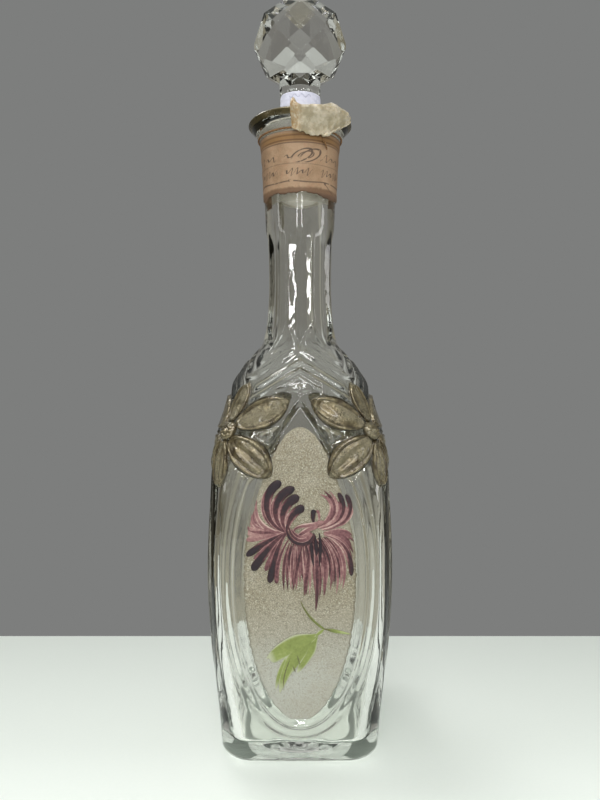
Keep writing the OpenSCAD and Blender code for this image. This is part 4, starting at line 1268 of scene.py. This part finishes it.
crease = (0.5 * fold(6 * k + 3 * p) ** 2 + 0.4 * fold(11 * k - 5 * p + 1) ** 2 + 0.3
          * fold(17 * k + 9 * p + 2) ** 2
          + 0.5 * bell((k - 0.1) / 0.035) + 0.4 * bell((k - 0.04) / 0.02) + 0.7
          * bell((p - reach + 0.03) / 0.035) * ease((k - 0.4) / 0.2))
crease = crease * ease((p - 0.1) / 0.2) * 0.75
lift = (3.4 * bell((k - 0.03) / 0.055) + 2.6 * bell((k - 0.72) / 0.3)) * ease((0.42 - p) / 0.3)
lift = lift + 0.8 * fold(8 * k + 1) * ease((0.3 - p) / 0.25)
top = polar(turn, radius + crease + SEAL_T, z + lift + 0.25 * crease)
under = polar(turn, radius + crease * 0.8, z + lift + 0.2 * crease)
points, faces = closed_slab(top, under)
seal = make_piece("seal_remnant", points, faces, values={"crease": np.stack([crease, crease])})
skin = Finish("dried_seal")
where = skin.place()
crease = skin.node("Attribute", {"attribute_name": "crease"}).part("Fac")
x = skin.node("SeparateXYZ", {}, {0: where}).part("X")
cloud, grain = skin.noise(210, 4, 0.62, 0.4, where=where), skin.noise(1300, 3, 0.6, where=where)
tone = skin.mix(cloud.between(0.38, 0.62), colour(150, 138, 112), colour(186, 174, 153))
# Painted highlight: the fold ridges and the rolled torn edge are lighter, where they would catch the light.
tone = skin.mix(crease.between(0.3, 0.7) * 0.6, tone, colour(202, 190, 167))
tone = skin.mix(x.between(0.002, -0.002) * grain.between(0.35, 0.6) * 0.8, tone, colour(150, 116, 66))
tone = skin.mix(grain.between(0.6, 0.72) * 0.5, tone, colour(120, 104, 72))
skin.show(skin.principled(Base_Color=tone, Roughness=0.42 - cloud * 0.2, Coat_Weight=0.25,
                          Coat_Roughness=0.25,
                          Subsurface_Weight=0.25, Subsurface_Radius=(0.002, 0.0016, 0.001),
                          Subsurface_Scale=1.0,
                          Normal=skin.bump(grain * 0.4 + cloud, 0.0006, 1.0)))
place(seal, skin, "dried_seal", "bottle", "seal_remnant")

# %% [markdown]
# ## Dealer's sticker
# A white paper sticker is wrapped part of the way round the stopper's shank, with round upper corners. A
# stock number was written on it; here it has only one short wavy line of a pen, which means nothing.

# %% Sticker
STICKER_H, STICKER_DROP, STICKER_WRAP = 7.0, 1.1, np.radians(142)
t, k = np.linspace(0, 1, 26)[None], np.linspace(-1, 1, 81)[:, None]
round_corner = 1.8 * (1 - np.sqrt(np.clip(1 - np.clip((np.abs(k) - 0.82) / 0.18, 0, 1) ** 2, 0, 1)))
z = COLLAR_Z - STICKER_DROP - STICKER_H + (STICKER_H - round_corner) * t
turn = np.radians(4) + STICKER_WRAP / 2 * k + 0 * z
lifted = LAY_GAP + 0.12 * ease((np.abs(k) - 0.85) / 0.15) + 0.03 * np.sin(3 * z + 5 * k)
top, under = (polar(turn, SHANK_D / 2 + lifted + h, z) for h in (PAPER_T - 0.02, 0.0))
points, faces = closed_slab(top[::-1], under[::-1])
pairs = np.stack([turn * 8, z - COLLAR_Z + STICKER_H], -1)[::-1].reshape(-1, 2)
sticker = make_piece("stock_sticker", points, faces, coordinates=np.tile(pairs, (2, 1)))
white = Finish("sticker_paper")
where = white.place()
pair = white.node("SeparateXYZ", {}, {0: white.node("UVMap", {"uv_map": "surface"})})
u, v = pair.part("X"), pair.part("Y")
soil, fleck = white.noise(500, 3, 0.6, where=where), white.noise(2600, 2, 0.6, where=where)
tone = white.mix(soil.between(0.35, 0.7), colour(198, 198, 214), colour(210, 209, 222))
tone = white.mix(v.between(2.0, 0.2) * 0.4, tone, colour(176, 168, 158))
scribble = v - 4.3 - white.node("Math", {"operation": "SINE"}, {0: u * 2.3}) * 0.55
near = white.node("Math", {"operation": "ABSOLUTE"}, {0: scribble}).between(0.3, 0.12)
within = white.node("Math", {"operation": "ABSOLUTE"}, {0: u}).between(4.4, 4.0)
tone = white.mix(near * within * fleck.between(0.3, 0.5) * 0.5, tone, colour(80, 84, 120))
white.show(white.principled(Base_Color=tone, Roughness=0.6 + soil * 0.1,
                            Normal=white.bump(fleck, 0.00012, 1.0)))
place(sticker, white, "sticker_paper", "stopper", "stock_sticker")
